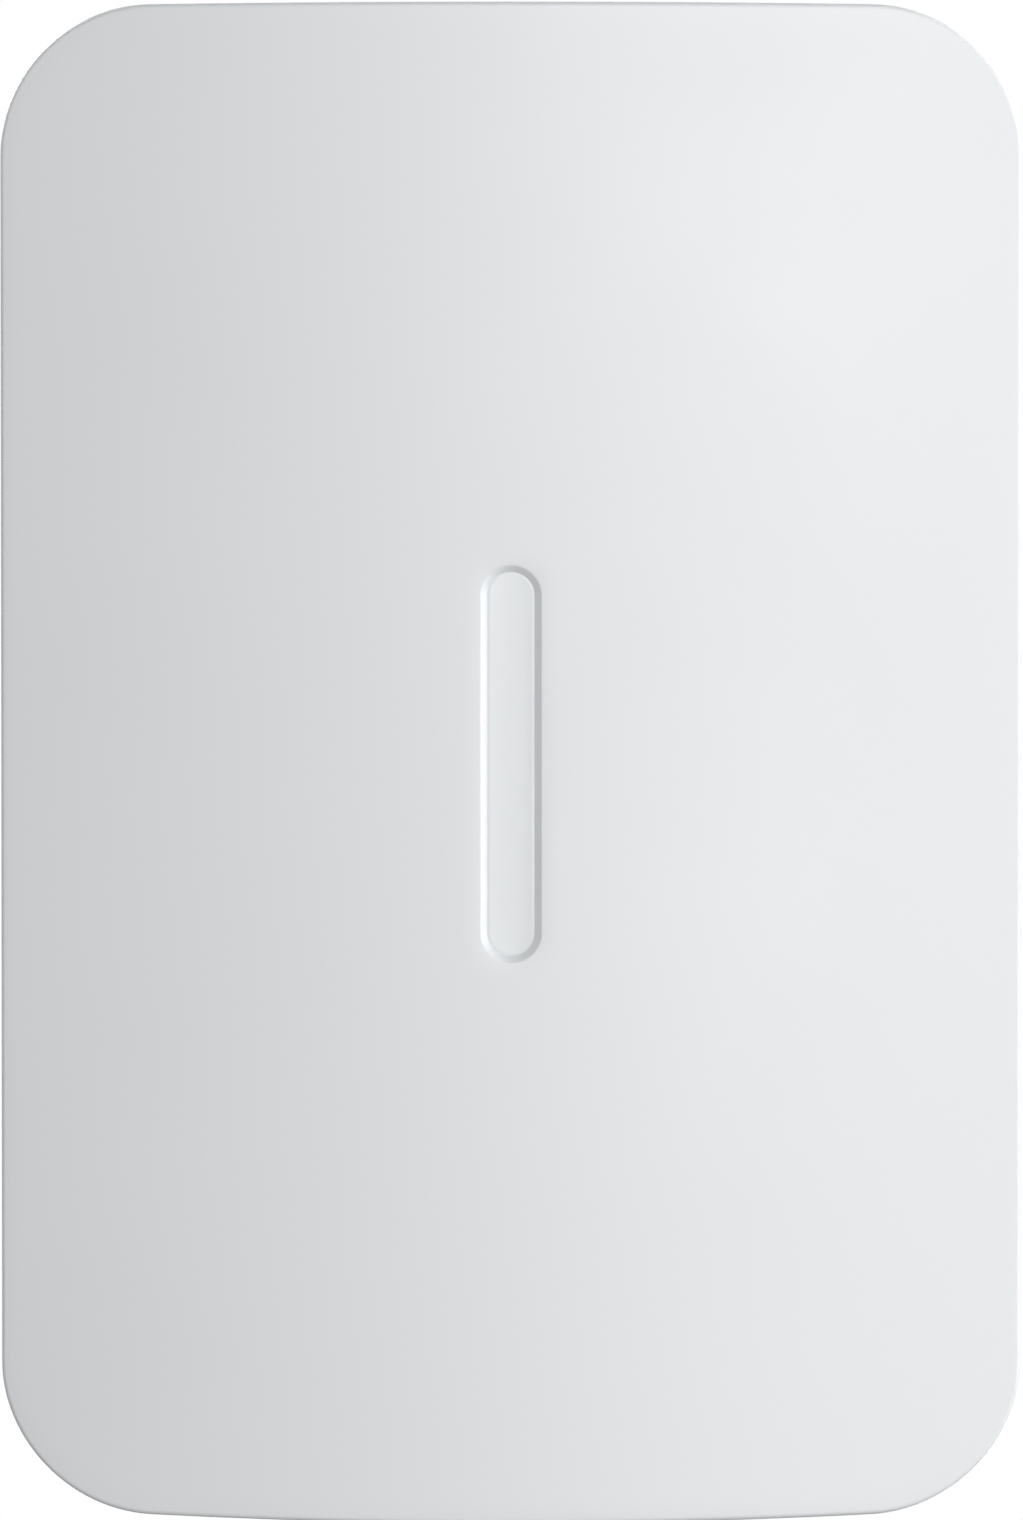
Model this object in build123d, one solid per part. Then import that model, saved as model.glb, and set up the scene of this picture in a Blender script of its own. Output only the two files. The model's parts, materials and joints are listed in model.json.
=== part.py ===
from build123d import *
import math
import os

# Wall battery unit. Millimetres. The wall is the plane Y = 0 and the unit faces -Y; +Z is up.
# The origin is the centre of the bracket's four wall anchors. "Depth" is the distance from the wall.
# Everything but the bracket is drawn about the enclosure's own centre and lifted by unit_rise.

# ---- front cover ----
cover_width = 790.0
cover_height = 1179.0
cover_corner = 118.0
cover_crown = 32.0  # how far the face bulges from its side edges to its centre line
cover_wall = 3.0
cover_draft = 3.0  # degrees, the cover's sides draw in towards the wall
cover_edge = 5.0
cover_overhang = 30.0  # cover beyond the enclosure on every side
cover_overlap = 27.5  # cover's rim behind the enclosure's front
cover_space = 54.0  # between the lid and the cover on the centre line

# ---- light bar in the cover ----
pill_width = 47.0
pill_length = 308.0
pill_bevel = 5.0
pill_wall = 4.0
window_flange = 3.0
window_land = 8.0
light_wall = 2.0
light_gap = 1.5
light_board_sheet = 1.6
light_count = 18

# ---- enclosure ----
back_gap = 30.0  # between the wall and the enclosure
enclosure_wall = 2.5
enclosure_corner = 100.0
front_space = 22.0  # between the cells and the enclosure's front
flange_width = 18.0
gasket_width = 9.0
gasket_sheet = 3.0
lid_sheet = 2.5
lid_edge = 1.0
lid_gap = 3.0
lid_swage = 5.0  # height of the pressed panels that stiffen the lid
swage_round = 30.0
cut_round = 12.0
screw_inset = 6.5
screw_spacing = 130.0

# ---- fasteners ----
screw = 5.0
screw_clearance = 0.3

# ---- battery ----
cell_thickness = 45.0
cell_width = 173.0
cell_depth = 125.0
cell_gap = 1.0
module_gap = 14.0
end_plate = 8.0
end_space = 20.0  # beyond each end plate, for cables
strap_sheet = 1.0
strap_width = 25.0
rail_sheet = 8.0
rail_width = 30.0
busbar_sheet = 2.0
terminal_height = 3.0

# ---- zones inside the enclosure, from bottom to top ----
wiring_height = 250.0
control_height = 125.0
zone_gap = 15.0
converter_height = 270.0
top_margin = 45.0
board_sheet = 1.6
board_lift = 16.0

# ---- heat sink ----
sink_width = 440.0
sink_base = 6.0
sink_margin = 22.0
sink_gasket = 1.5
fin_height = 16.5
fin_sheet = 2.0
fin_pitch = 13.2

# ---- wall bracket and how the unit hangs on it ----
anchor_width = 480.0
anchor_rise = 320.0
anchor_hole = 9.0
bracket_sheet = 3.0
bracket_margin = 40.0
bend_radius = 4.0
lip_width = 440.0
lip_height = 25.0
lip_space = 10.5  # behind the lip
rail_length = 480.0
hook_drop = 20.0
hook_gap = 4.5
hook_below_sink = 8.0  # from the hook's top to the heat sink
rail_screw_drop = 30.0  # rail screws below the hook
lift_travel = 25.0
lock_screw = 6.0
lock_height = 90.0
lock_depth = 17.0
lock_low = -185.0
tab_gap = 0.5
tab_half = 34.0
tab_screw_step = 22.0
tab_screw_inset = 30.0
bumper_radius = 16.0
bumper_inset = (110.0, 90.0)  # from the enclosure's side and bottom

# ---- switch pocket in the right side ----
pocket_height = 122.0
pocket_width = 96.0
pocket_rim = 7.0
pocket_depth = 30.0
pocket_wall = 2.0
pocket_flange = 3.0
breaker_width = 36.0
breaker_height = pocket_height - 36.0  # the button's case stands above the breaker
breaker_nose = 45.0
breaker_body_depth = 62.0
nose_depth = 11.0
toggle_radius = 7.0
toggle_width = 11.0
toggle_reach = 17.0
toggle_tilt = 40.0  # degrees above level when on, and below it when off
button_radius = 7.7
button_proud = 2.5
button_case = 3.0
button_bezel = 4.0
control_gap = 2.3
control_offset = 0.6
fit_gap = 0.3
flap_sheet = 2.5
flap_pivot = 3.5

# ---- lifting handles ----
handle_span = 90.0
handle_drop = 72.0
handle_rod = 4.5
handle_bend = 16.0
grip_radius = 8.0
grip_length = 56.0
eye_radius = 9.0
eye_sheet = 10.0
handle_pin = 3.0
pin_fit = 0.05
handle_stand = 11.0  # from the enclosure's side to the pivot line
lug_sheet = 7.0

# ---- cable entries ----
gland_pitch = 70.0
gland_thread = 12.5
gland_bore = 9.0
cable_power = 6.5  # cable hole radius of the power gland
cable_data = 4.0
cable_radius = 4.5
cable_hole = 6.0
gland_height = 8.0
gland_nut_height = 15.0
locknut_height = 5.0
vent_radius = 18.0
stud_radius = 3.0
stud_length = 18.0

# ---- worked out from the sizes above ----
enclosure_width = cover_width - 2 * cover_overhang
enclosure_height = cover_height - 2 * cover_overhang
cell_back = back_gap + enclosure_wall + rail_sheet
enclosure_front = cell_back + cell_depth + front_space
lid_back = enclosure_front + gasket_sheet
lid_front = lid_back + lid_sheet
cover_front = lid_front + cover_space + cover_wall
rim_back = enclosure_front - cover_overlap
crown_radius = ((cover_width / 2) ** 2 + cover_crown**2) / (2 * cover_crown)
side = enclosure_width / 2
inner_side = side - enclosure_wall
inner_top = enclosure_height / 2 - enclosure_wall
divider = -inner_top + wiring_height
converter_top = inner_top - top_margin
converter_low = converter_top - converter_height
converter_middle = (converter_top + converter_low) / 2
control_top = converter_low - zone_gap
control_middle = control_top - control_height / 2
control_low = control_top - control_height
cell_pitch = cell_thickness + cell_gap
module_pitch = cell_width + module_gap
cell_count = int((2 * (inner_side - end_plate - end_space)) // cell_pitch)
module_count = int((control_low - divider - module_gap) // module_pitch)
modules = [divider + module_gap + cell_width / 2 + module_pitch * row for row in range(module_count)]
cell_run = cell_count * cell_pitch - cell_gap
module_half = cell_run / 2 + end_plate
bracket_half = anchor_width / 2 + bracket_margin
bracket_top = anchor_rise / 2 + bracket_margin
lip_top = bracket_top + lip_height
hang_seat = converter_low - hook_below_sink - bracket_sheet
unit_rise = lip_top - hang_seat
lock_middle = lock_low + screw + lock_screw
pocket_middle_depth = (back_gap + rim_back) / 2
pocket_floor = side - pocket_depth
board_back = back_gap + enclosure_wall + board_lift
hole_radius = screw / 2 + screw_clearance
bottom = -enclosure_height / 2
window_front = cover_front - pill_bevel
window_back = window_front - pill_wall
handle_depth = pocket_middle_depth
cover_points = [
    (x * (side - 55.0), z * (enclosure_height / 2 - 130.0)) for x in (-1, 1) for z in (-1, 0, 1)
]
gland_x = [gland_pitch * (place - 1.5) for place in range(4)]
gland_depth = (back_gap + enclosure_front) / 2
inner_back = back_gap + enclosure_wall
control_step = breaker_height / 2 + button_radius + button_case + control_gap
control_spare = pocket_height / 2 - pocket_rim - pocket_wall - (
    breaker_nose / 2 + control_step + button_radius + button_bezel
) / 2
breaker_middle = control_middle - pocket_height / 2 + pocket_rim + pocket_wall + (
    control_spare + control_offset + breaker_nose / 2
)
button_middle = breaker_middle + control_step
breaker_left = pocket_floor - breaker_body_depth
pole_depths = [pocket_middle_depth + way * 10.0 for way in (-1, 1)]
cable_drop_x = (module_half + inner_side) / 2
cable_drops = [(cable_drop_x, depth) for depth in pole_depths]


# ---- helpers ----
def slab(sketch, depth, thickness, taper=0):
    """Plate drawn on the wall plane (X, Z), from a depth towards the room."""
    return extrude(Plane.XZ.offset(depth) * sketch, amount=thickness, taper=taper)


def side_slab(sketch, x, thickness):
    """Plate drawn on a side plane (Y, Z), from x towards +X."""
    return extrude(Plane.YZ.offset(x) * sketch, amount=thickness)


def block(x_low, x_high, depth_low, depth_high, z_low, z_high):
    """Block given by its limits."""
    size = (x_high - x_low, depth_high - depth_low, z_high - z_low)
    middle = ((x_low + x_high) / 2, -(depth_low + depth_high) / 2, (z_low + z_high) / 2)
    return Pos(*middle) * Box(*size)


def room_facing(part, x, depth, z):
    """Stand a part drawn along +Z so that it points into the room."""
    return Pos(x, -depth, z) * Rot(90, 0, 0) * part


def wall_facing(part, x, depth, z):
    """Stand a part drawn along +Z so that it points at the wall."""
    return Pos(x, -depth, z) * Rot(-90, 0, 0) * part


def right_facing(part, x, depth, z):
    """Stand a part drawn along +Z so that it points to +X."""
    return Pos(x, -depth, z) * Rot(0, 90, 0) * part


def rod(radius, height):
    """Round bar standing on Z = 0."""
    return extrude(Circle(radius), amount=height)


def tube(outer, inner, height):
    """Round ring standing on Z = 0."""
    return extrude(Circle(outer) - Circle(inner), amount=height)


def pill(width, length):
    """Upright stadium outline."""
    return Rot(0, 0, 90) * SlotOverall(length, width)


def bent_strip(points, thickness, x_low, x_high):
    """Sheet strip whose one face follows (depth, height) points with rounded bends."""
    path = FilletPolyline(*[(-depth, z) for depth, z in points], radius=bend_radius)
    profile = make_face(offset(path, thickness, side=Side.LEFT, closed=True))
    return side_slab(profile, x_low, x_high - x_low)


def flanged_screw(diameter, length):
    """Hex screw with a washer face: head above Z = 0, shank below."""
    washer = rod(1.05 * diameter, 0.25 * diameter)
    head = extrude(RegularPolygon(0.9 * diameter, 6), amount=diameter)
    shank = Pos(0, 0, -length) * rod(diameter / 2, length)
    return washer + head + shank


def group(parts):
    """Separate solids kept in one node."""
    return Compound([solid for part in parts for solid in part.solids()])


def save(name, part, rise=unit_rise):
    """Write one node's STEP file."""
    export_step(Pos(0, 0, rise) * part, f"parts/{name}.step")


# ---- outlines of the enclosure ----
def enclosure_outline(inset):
    """Rounded outline of the enclosure, drawn in by an inset."""
    return RectangleRounded(
        enclosure_width - 2 * inset, enclosure_height - 2 * inset, enclosure_corner - inset
    )


def chamber_outline(inset, upper):
    """Outline of the battery chamber (upper) or the wiring compartment, cut off near the divider."""
    way = 1 if upper else -1
    cut = divider + way * (lid_gap / 2 + inset)
    band = Pos(0, cut + way * enclosure_height / 2) * Rectangle(2 * enclosure_width, enclosure_height)
    outline = enclosure_outline(inset) & band
    corners = outline.vertices().filter_by_position(Axis.Y, cut - 0.01, cut + 0.01)
    return fillet(corners, cut_round)


def rim_points(upper):
    """Evenly spaced screw places round a lid."""
    rim = chamber_outline(screw_inset, upper).wire()
    count = round(rim.length / screw_spacing)
    places = [rim @ (place / count) for place in range(count)]
    return [(place.X, place.Y) for place in places]


lid_points = rim_points(True)
wiring_points = rim_points(False)


def drilled(part, points, radius):
    """Part with round holes through its whole depth."""
    holes = [Pos(x, 0, z) * Rot(90, 0, 0) * Cylinder(radius, 1000) for x, z in points]
    return part - holes


# ---- front cover and light window ----
def crowned_block(inset, back, edge):
    """Solid under the crowned face: drafted sides, cylinder-crowned front and a rounded front edge."""
    flare = math.tan(math.radians(cover_draft))
    width = cover_width + 2 * (cover_crown + cover_edge) * flare - 2 * inset
    height = cover_height + 2 * cover_edge * flare - 2 * inset
    outline = RectangleRounded(width, height, cover_corner - inset)
    body = slab(outline, cover_front, back - cover_front, cover_draft)
    crown = Pos(0, crown_radius - cover_front, 0) * Cylinder(crown_radius - inset, 2 * cover_height)
    body = body & crown
    face = body.faces().filter_by(GeomType.CYLINDER).sort_by(SortBy.AREA)[-1]
    return fillet(face.edges(), edge)


cover_boss_back = lid_front + 15.0
cover_boss_radius = 9.0
cover_stud_radius = 4.0
cover_stud_grip = 11.0
cover_stud_tip = lid_front + 2.0


def make_front_cover():
    outside = crowned_block(0, rim_back, cover_edge)
    inside = crowned_block(cover_wall, rim_back - 5, cover_edge - cover_wall)
    bosses = [slab(Pos(x, z) * Circle(cover_boss_radius), cover_boss_back, 60) for x, z in cover_points]
    land = pill(pill_width + 2 * cover_wall, pill_length + 2 * cover_wall)
    collar = slab(land, window_back, pill_bevel + pill_wall)
    cover = outside - inside
    cover += [boss & outside for boss in bosses]
    cover += collar & outside
    bevel = slab(pill(pill_width, pill_length), cover_front, -pill_bevel, 45)
    opening = slab(pill(pill_width - 2 * pill_bevel, pill_length - 2 * pill_bevel), window_back - 1, 20)
    cover = cover - bevel - opening
    sockets = [
        slab(Pos(x, z) * Circle(cover_stud_radius), cover_boss_back, cover_stud_grip) for x, z in cover_points
    ]
    return cover - sockets


def make_cover_studs():
    length = cover_boss_back + cover_stud_grip - cover_stud_tip
    stud = chamfer(rod(cover_stud_radius, length).edges().sort_by(Axis.Z)[0], 1.2)
    return group(room_facing(stud, x, cover_stud_tip, z) for x, z in cover_points)


def make_light_window():
    wide = pill_width - 2 * pill_bevel - 2 * fit_gap
    long = pill_length - 2 * pill_bevel - 2 * fit_gap
    plug = slab(pill(wide, long), window_back, pill_wall - fit_gap)
    land = pill(wide + 2 * window_land, long + 2 * window_land)
    return plug + slab(land, window_back - window_flange, window_flange)


light_outer = (pill_width + 2 * window_land, pill_length + 2 * window_land)
light_front = window_back - window_flange - light_gap


def make_light_housing():
    wide, long = light_outer
    case = slab(pill(wide, long), lid_front, light_front - lid_front)
    hollow = slab(pill(wide - 2 * light_wall, long - 2 * light_wall), lid_front + light_wall, 100)
    feet = slab(Rectangle(wide + 28, 24), lid_front, 3)
    ends = (-0.35 * long, 0.35 * long)
    case += [Pos(0, 0, z) * feet for z in ends]
    places = [(x * (wide / 2 + 7), z) for x in (-1, 1) for z in ends]
    return drilled(case - hollow, places, 2.2)


def make_light_board():
    wide, long = light_outer
    back = lid_front + light_wall
    board = slab(pill(wide - 4 * light_wall, long - 4 * light_wall), back, light_board_sheet)
    pitch = (long - wide) / (light_count - 1)
    places = [pitch * (place - (light_count - 1) / 2) for place in range(light_count)]
    front = back + light_board_sheet
    return board + [block(-2.5, 2.5, front, front + 1.6, z - 2.5, z + 2.5) for z in places]


grommet_radius = 11.0
grommet_neck = 8.0
plate_sheet = 2.0
plate_front = cover_boss_back - 3.0 - plate_sheet


def make_cover_brackets():
    """Small pressed saddles on the lids that hold the rubber grommets."""
    foot, top = 34.0, 20.0
    left = [(-foot, lid_front), (-top, lid_front), (-top, plate_front)]
    points = left + [(-x, depth) for x, depth in reversed(left)]
    path = FilletPolyline(*[(x, -depth) for x, depth in points], radius=2.5)
    profile = make_face(offset(path, plate_sheet, side=Side.RIGHT, closed=True))
    saddle = extrude(Pos(0, 0, -12) * profile, amount=24)
    saddle = saddle - Pos(0, -plate_front, 0) * Rot(90, 0, 0) * Cylinder(grommet_neck, 20)
    return group(Pos(x, 0, z) * saddle for x, z in cover_points)


def make_cover_grommets():
    """Rubber rings with a waist that snaps into the saddle's hole."""
    bore = cover_stud_radius + fit_gap
    lip = tube(grommet_radius, bore, 2)
    waist = Pos(0, 0, 2) * tube(grommet_neck, bore, plate_sheet)
    ring = lip + waist + Pos(0, 0, 2 + plate_sheet) * lip
    return group(room_facing(ring, x, plate_front - 2, z) for x, z in cover_points)


# ---- enclosure ----
rail_screws = [(x * rail_length / 8, hang_seat - rail_screw_drop) for x in (-3, -1, 1, 3)]
tab_middle = lock_middle - unit_rise
tab_screws = [
    (x * (bracket_half - tab_screw_inset), tab_middle + z * tab_screw_step) for x in (-1, 1) for z in (-1, 1)
]
sink_half = sink_width / 2
sink_opening = Rectangle(sink_width - 2 * sink_margin, converter_height - 2 * sink_margin)
sink_row_step = (converter_height - sink_margin) / 4
sink_rows = [converter_low + sink_margin / 2 + step * sink_row_step for step in range(5)]
sink_columns = [step * (sink_width - sink_margin) / 6 for step in (-2, -1, 0, 1, 2)]
sink_screws = [(x * (sink_half - sink_margin / 2), z) for x in (-1, 1) for z in sink_rows]
sink_screws += [(x, z) for x in sink_columns for z in (sink_rows[0], sink_rows[-1])]
stud_z = bottom + enclosure_corner + 50.0


def screw_hole(x, z, depth):
    """Clearance hole for a screw through a sheet near a depth."""
    return slab(Pos(x, z) * Circle(hole_radius), depth - 10, 20)


def make_enclosure_tub():
    """Deep tub open to the room, with an inward flange that carries both gaskets."""
    depth = enclosure_front - back_gap
    tub = slab(enclosure_outline(0), back_gap, depth)
    tub -= slab(enclosure_outline(enclosure_wall), back_gap + enclosure_wall, depth)
    flange = slab(enclosure_outline(enclosure_wall / 2), enclosure_front - enclosure_wall, enclosure_wall)
    for upper in (True, False):
        flange -= slab(chamber_outline(enclosure_wall + flange_width, upper), enclosure_front - 10, 20)
    tub = tub + flange
    front_holes = [screw_hole(x, z, enclosure_front) for x, z in lid_points + wiring_points]
    rear_holes = [screw_hole(x, z, back_gap) for x, z in rail_screws + tab_screws + sink_screws]
    window = slab(Pos(0, converter_middle) * sink_opening, back_gap - 5, 12)
    pocket = RectangleRounded(pocket_width - 2 * pocket_rim + 1, pocket_height - 2 * pocket_rim + 1, 6)
    pocket_opening = side_slab(Pos(-pocket_middle_depth, control_middle) * pocket, side - 5, 10)
    gland_holes = [
        Pos(x, -gland_depth, bottom) * Cylinder(gland_thread + screw_clearance, 12) for x in gland_x
    ]
    vent_hole = right_facing(rod(vent_radius / 2, 12), -side - 5, gland_depth, control_middle)
    return tub - front_holes - rear_holes - window - pocket_opening - gland_holes - vent_hole


def make_chamber_bulkhead():
    """Shelf that shuts the battery chamber off from the wiring compartment, with two cable holes."""
    low = divider - enclosure_wall / 2
    front = enclosure_front - enclosure_wall
    shelf = block(-inner_side, inner_side, back_gap + enclosure_wall, front, low, low + enclosure_wall)
    holes = [Pos(x, -depth, low) * Cylinder(cable_hole, 20) for x, depth in cable_drops]
    return shelf - holes


def make_gasket(upper):
    low = chamber_outline(enclosure_wall + flange_width - gasket_width, upper)
    return slab(low - chamber_outline(enclosure_wall + flange_width, upper), enclosure_front, gasket_sheet)


def make_lid(upper, panels):
    """Flat lid with pressed-out panels; every panel is (x, z, width, height)."""
    lid = slab(chamber_outline(lid_edge, upper), lid_back, lid_sheet)
    for x, z, width, height in panels:
        raised = Pos(x, z) * RectangleRounded(width, height, swage_round)
        within = [size - 2 * lid_sheet for size in (width, height)]
        hollow = Pos(x, z) * RectangleRounded(*within, swage_round - lid_sheet)
        lid = lid + slab(raised, lid_front, lid_swage, 30)
        lid = lid - slab(hollow, lid_back, lid_swage, 30)
    return lid - [screw_hole(x, z, lid_back) for x, z in (lid_points if upper else wiring_points)]


def make_enclosure_lid():
    inner = light_outer[0] / 2 + 30.0
    outer = side - 95.0
    low = divider + 60.0
    high = enclosure_height / 2 - 75.0
    middle = (inner + outer) / 2
    panels = [(x * middle, (low + high) / 2, outer - inner, high - low) for x in (-1, 1)]
    return make_lid(True, panels)


def make_wiring_cover():
    low = bottom + 75.0
    high = divider - 50.0
    return make_lid(False, [(0, (low + high) / 2, 2 * (side - 120.0), high - low)])


def make_lid_screws():
    one = flanged_screw(screw, lid_sheet + gasket_sheet + enclosure_wall + 4)
    return group(room_facing(one, x, lid_front, z) for x, z in lid_points + wiring_points)


def make_rear_screws():
    plate = flanged_screw(screw, bracket_sheet + enclosure_wall)
    base = flanged_screw(screw, sink_base + sink_gasket + enclosure_wall)
    plates = [wall_facing(plate, x, back_gap - bracket_sheet, z) for x, z in rail_screws + tab_screws]
    bases = [wall_facing(base, x, back_gap - sink_gasket - sink_base, z) for x, z in sink_screws]
    return group(plates + bases)


def make_pressure_vent():
    """Mushroom cap over a short threaded neck."""
    cap = fillet(rod(vent_radius, 9).edges().sort_by(Axis.Z)[-1], 3)
    slots = [Rot(0, 0, turn) * Pos(vent_radius, 0, 3) * Box(8, 4, 3) for turn in range(0, 360, 45)]
    neck = Pos(0, 0, -10) * rod(vent_radius / 2 - screw_clearance, 10)
    vent = cap + neck
    vent = vent - slots
    return Pos(-side, -gland_depth, control_middle) * Rot(0, -90, 0) * vent


def make_earth_stud():
    """Welded stud with a square foot, on the left side."""
    foot = extrude(RectangleRounded(26, 26, 3), amount=3)
    stud = foot + rod(stud_radius, 3 + stud_length)
    return Pos(-side, -gland_depth, stud_z) * Rot(0, -90, 0) * stud


# ---- hanging ----
def make_wall_bracket():
    """Flat frame with a hooked lip along its top and a slotted ear on each side."""
    frame = RectangleRounded(2 * bracket_half, 2 * bracket_top, 16)
    window = RectangleRounded(anchor_width - 100, anchor_rise - 90, 24)
    hole = Circle(anchor_hole / 2)
    anchors = [Pos(x * anchor_width / 2, z * anchor_rise / 2) * hole for x in (-1, 1) for z in (-1, 0, 1)]
    plate = slab(frame - window - anchors, 0, bracket_sheet)
    reach = lip_space + bracket_sheet
    points = [(bracket_sheet / 2, bracket_top), (reach, bracket_top), (reach, lip_top)]
    lip = bent_strip(points, bracket_sheet, -lip_width / 2, lip_width / 2)
    low = lock_low - 10
    ear = block(bracket_half - bracket_sheet, bracket_half, 0, back_gap - 4, low, low + lock_height)
    slot_length = lift_travel + lock_screw + 3
    slot = Pos(-lock_depth, lock_middle - 1 + lift_travel / 2) * pill(lock_screw + 1, slot_length)
    ear = ear - side_slab(slot, bracket_half - 10, 20)
    hem = block(-bracket_half + 20, bracket_half - 20, 0, 12, -bracket_top, -bracket_top + bracket_sheet)
    return plate + lip + ear + mirror(ear, Plane.YZ) + hem


def make_hang_rail():
    """Hook strip screwed to the enclosure's back, hanging over the bracket's lip."""
    back = bracket_sheet + lip_space - hook_gap
    front = back_gap - bracket_sheet
    points = [(front, hang_seat - 45), (front, hang_seat), (back, hang_seat), (back, hang_seat - hook_drop)]
    strip = bent_strip(points, bracket_sheet, -rail_length / 2, rail_length / 2)
    return drilled(strip, rail_screws, hole_radius)


def make_lock_tabs():
    """Angle on each side that stands beside the bracket's ear."""
    inner = bracket_half + tab_gap
    low = tab_middle - tab_half
    high = tab_middle + tab_half
    foot = block(bracket_half - 45, inner + bracket_sheet, back_gap - bracket_sheet, back_gap, low, high)
    leg = block(inner, inner + bracket_sheet, 7, back_gap, low, high)
    hole = right_facing(rod(lock_screw / 2 + screw_clearance, 20), inner - 10, lock_depth, tab_middle)
    tab = drilled(foot + leg - hole, [place for place in tab_screws if place[0] > 0], hole_radius)
    return group([tab, mirror(tab, Plane.YZ)])


def make_lock_screws():
    """Screw and nut that clamp each tab to the bracket's ear; the ear's slot lets the unit lift."""
    head = bracket_half + tab_gap + bracket_sheet
    bolt = right_facing(flanged_screw(lock_screw, 20), head, lock_depth, tab_middle)
    nut = extrude(RegularPolygon(0.95 * lock_screw, 6) - Circle(lock_screw / 2), amount=5)
    nut = right_facing(nut, bracket_half - bracket_sheet - 0.3 - 5, lock_depth, tab_middle)
    return group([bolt, nut, mirror(bolt, Plane.YZ), mirror(nut, Plane.YZ)])


def make_wall_bumpers():
    """Rubber feet that keep the bottom of the unit off the wall."""
    foot = rod(bumper_radius, back_gap)
    foot = fillet(foot.edges().sort_by(Axis.Z)[-1], 3)
    across, up = bumper_inset
    return group(wall_facing(foot, x * (side - across), back_gap, bottom + up) for x in (-1, 1))


# ---- cooling ----
def make_heat_sink():
    """Base plate outside the enclosure's back with upright fins towards the wall."""
    front = back_gap - sink_gasket
    base = block(-sink_half, sink_half, front - sink_base, front, converter_low, converter_top)
    base = drilled(base, sink_screws, hole_radius)
    room = sink_width - 2 * sink_margin - fin_sheet
    count = int(room // fin_pitch) + 1
    first = -(count - 1) * fin_pitch / 2
    low = converter_low + sink_margin
    high = converter_top - sink_margin
    back = front - sink_base
    fin = block(-fin_sheet / 2, fin_sheet / 2, back - fin_height, back, low, high)
    return base + [Pos(first + n * fin_pitch, 0, 0) * fin for n in range(count)]


def make_heat_sink_gasket():
    frame = Rectangle(sink_width, converter_height) - sink_opening
    ring = slab(Pos(0, converter_middle) * frame, back_gap - sink_gasket, sink_gasket)
    return drilled(ring, sink_screws, hole_radius)


# ---- battery ----
cell_front = cell_back + cell_depth
cell_x = [(place - (cell_count - 1) / 2) * cell_pitch for place in range(cell_count)]
terminal_lift = cell_width * 0.36


def make_battery_cells():
    half = cell_thickness / 2
    body = block(-half, half, cell_back, cell_front, -cell_width / 2, cell_width / 2)
    body = fillet(body.edges().filter_by(Axis.Y), 2)
    post = block(-12, 12, cell_front, cell_front + terminal_height, -12, 12)
    cell = body + [Pos(0, 0, way * terminal_lift) * post for way in (-1, 1)]
    return group(Pos(x, 0, z) * cell for z in modules for x in cell_x)


def make_module_end_plates():
    inner = cell_run / 2
    half = cell_width / 2
    plate = block(inner, inner + end_plate, cell_back, cell_front, -half, half)
    foot = block(inner, inner + end_plate + 14, cell_back, cell_back + 6, -half + 15, half - 15)
    plate = plate + foot
    return group(Pos(0, 0, z) * end for z in modules for end in (plate, mirror(plate, Plane.YZ)))


def make_module_straps():
    wide = 2 * module_half
    ring = Rectangle(wide + 2 * strap_sheet, cell_width + 2 * strap_sheet) - Rectangle(wide, cell_width)
    places = (cell_back + 20, cell_front - 20 - strap_width)
    return group(Pos(0, 0, z) * slab(ring, depth, strap_width) for z in modules for depth in places)


def make_module_rails():
    back = back_gap + enclosure_wall
    rail = block(-module_half - 16, module_half + 16, back, cell_back, -rail_width / 2, rail_width / 2)
    return group(Pos(0, 0, z + lift) * rail for z in modules for lift in (-50, 50))


def make_cell_busbars():
    """Links that join each cell to the next, on alternate terminal rows."""
    front = cell_front + terminal_height
    link = block(-10, cell_pitch + 10, front, front + busbar_sheet, -9, 9)
    links = []
    for row, z in enumerate(modules):
        for place, x in enumerate(cell_x[:-1]):
            way = 1 if (place + row) % 2 else -1
            links.append(Pos(x, 0, z + way * terminal_lift) * link)
    return group(links)


def make_sense_boards():
    back = cell_front + terminal_height + busbar_sheet + 2
    board = block(-cell_run / 2 + 12, cell_run / 2 - 12, back, back + board_sheet, -22, 22)
    feet = [block(x - 5, x + 5, cell_front, back, -8, 8) for x in (cell_x[1], cell_x[-2])]
    chips = [block(x - 6, x + 6, back + board_sheet, back + board_sheet + 1.4, -6, 6) for x in cell_x[1:-1:2]]
    return group(Pos(0, 0, z) * (board + feet + chips) for z in modules)


# ---- electronics ----
def populated(width, height, depth, pieces):
    """Circuit board with blocks on its front; every piece is (x, z, width, height, thickness)."""
    board = block(-width / 2, width / 2, depth, depth + board_sheet, -height / 2, height / 2)
    front = depth + board_sheet
    parts = [block(x - w / 2, x + w / 2, front, front + t, z - h / 2, z + h / 2) for x, z, w, h, t in pieces]
    return board + parts


def on_posts(width, height, pieces):
    """Populated board with a post from the enclosure's back to each of its corners."""
    post = slab(Circle(3.5), inner_back, board_back - inner_back)
    posts = [Pos(x * (width / 2 - 7), 0, z * (height / 2 - 7)) * post for x in (-1, 1) for z in (-1, 1)]
    return populated(width, height, board_back, pieces) + posts


fuse_x = breaker_left - 42.0
contactor_x = [fuse_x - 68.0, fuse_x - 140.0]
shunt_x = contactor_x[1] - 60.0
bms_right = shunt_x - 30.0
bms_left = -inner_side + 22.0


def make_bms_board():
    width = bms_right - bms_left
    chips = [(-width * 0.3, 0, 34, 34, 3), (0, 18, 22, 22, 2), (width * 0.25, -10, 40, 16, 12)]
    sockets = [(-width * 0.35 + step * 24, -control_height * 0.32, 18, 9, 9) for step in range(6)]
    height = control_height - 20
    board = on_posts(width, height, chips + sockets)
    return Pos((bms_left + bms_right) / 2, 0, control_middle) * board


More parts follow.
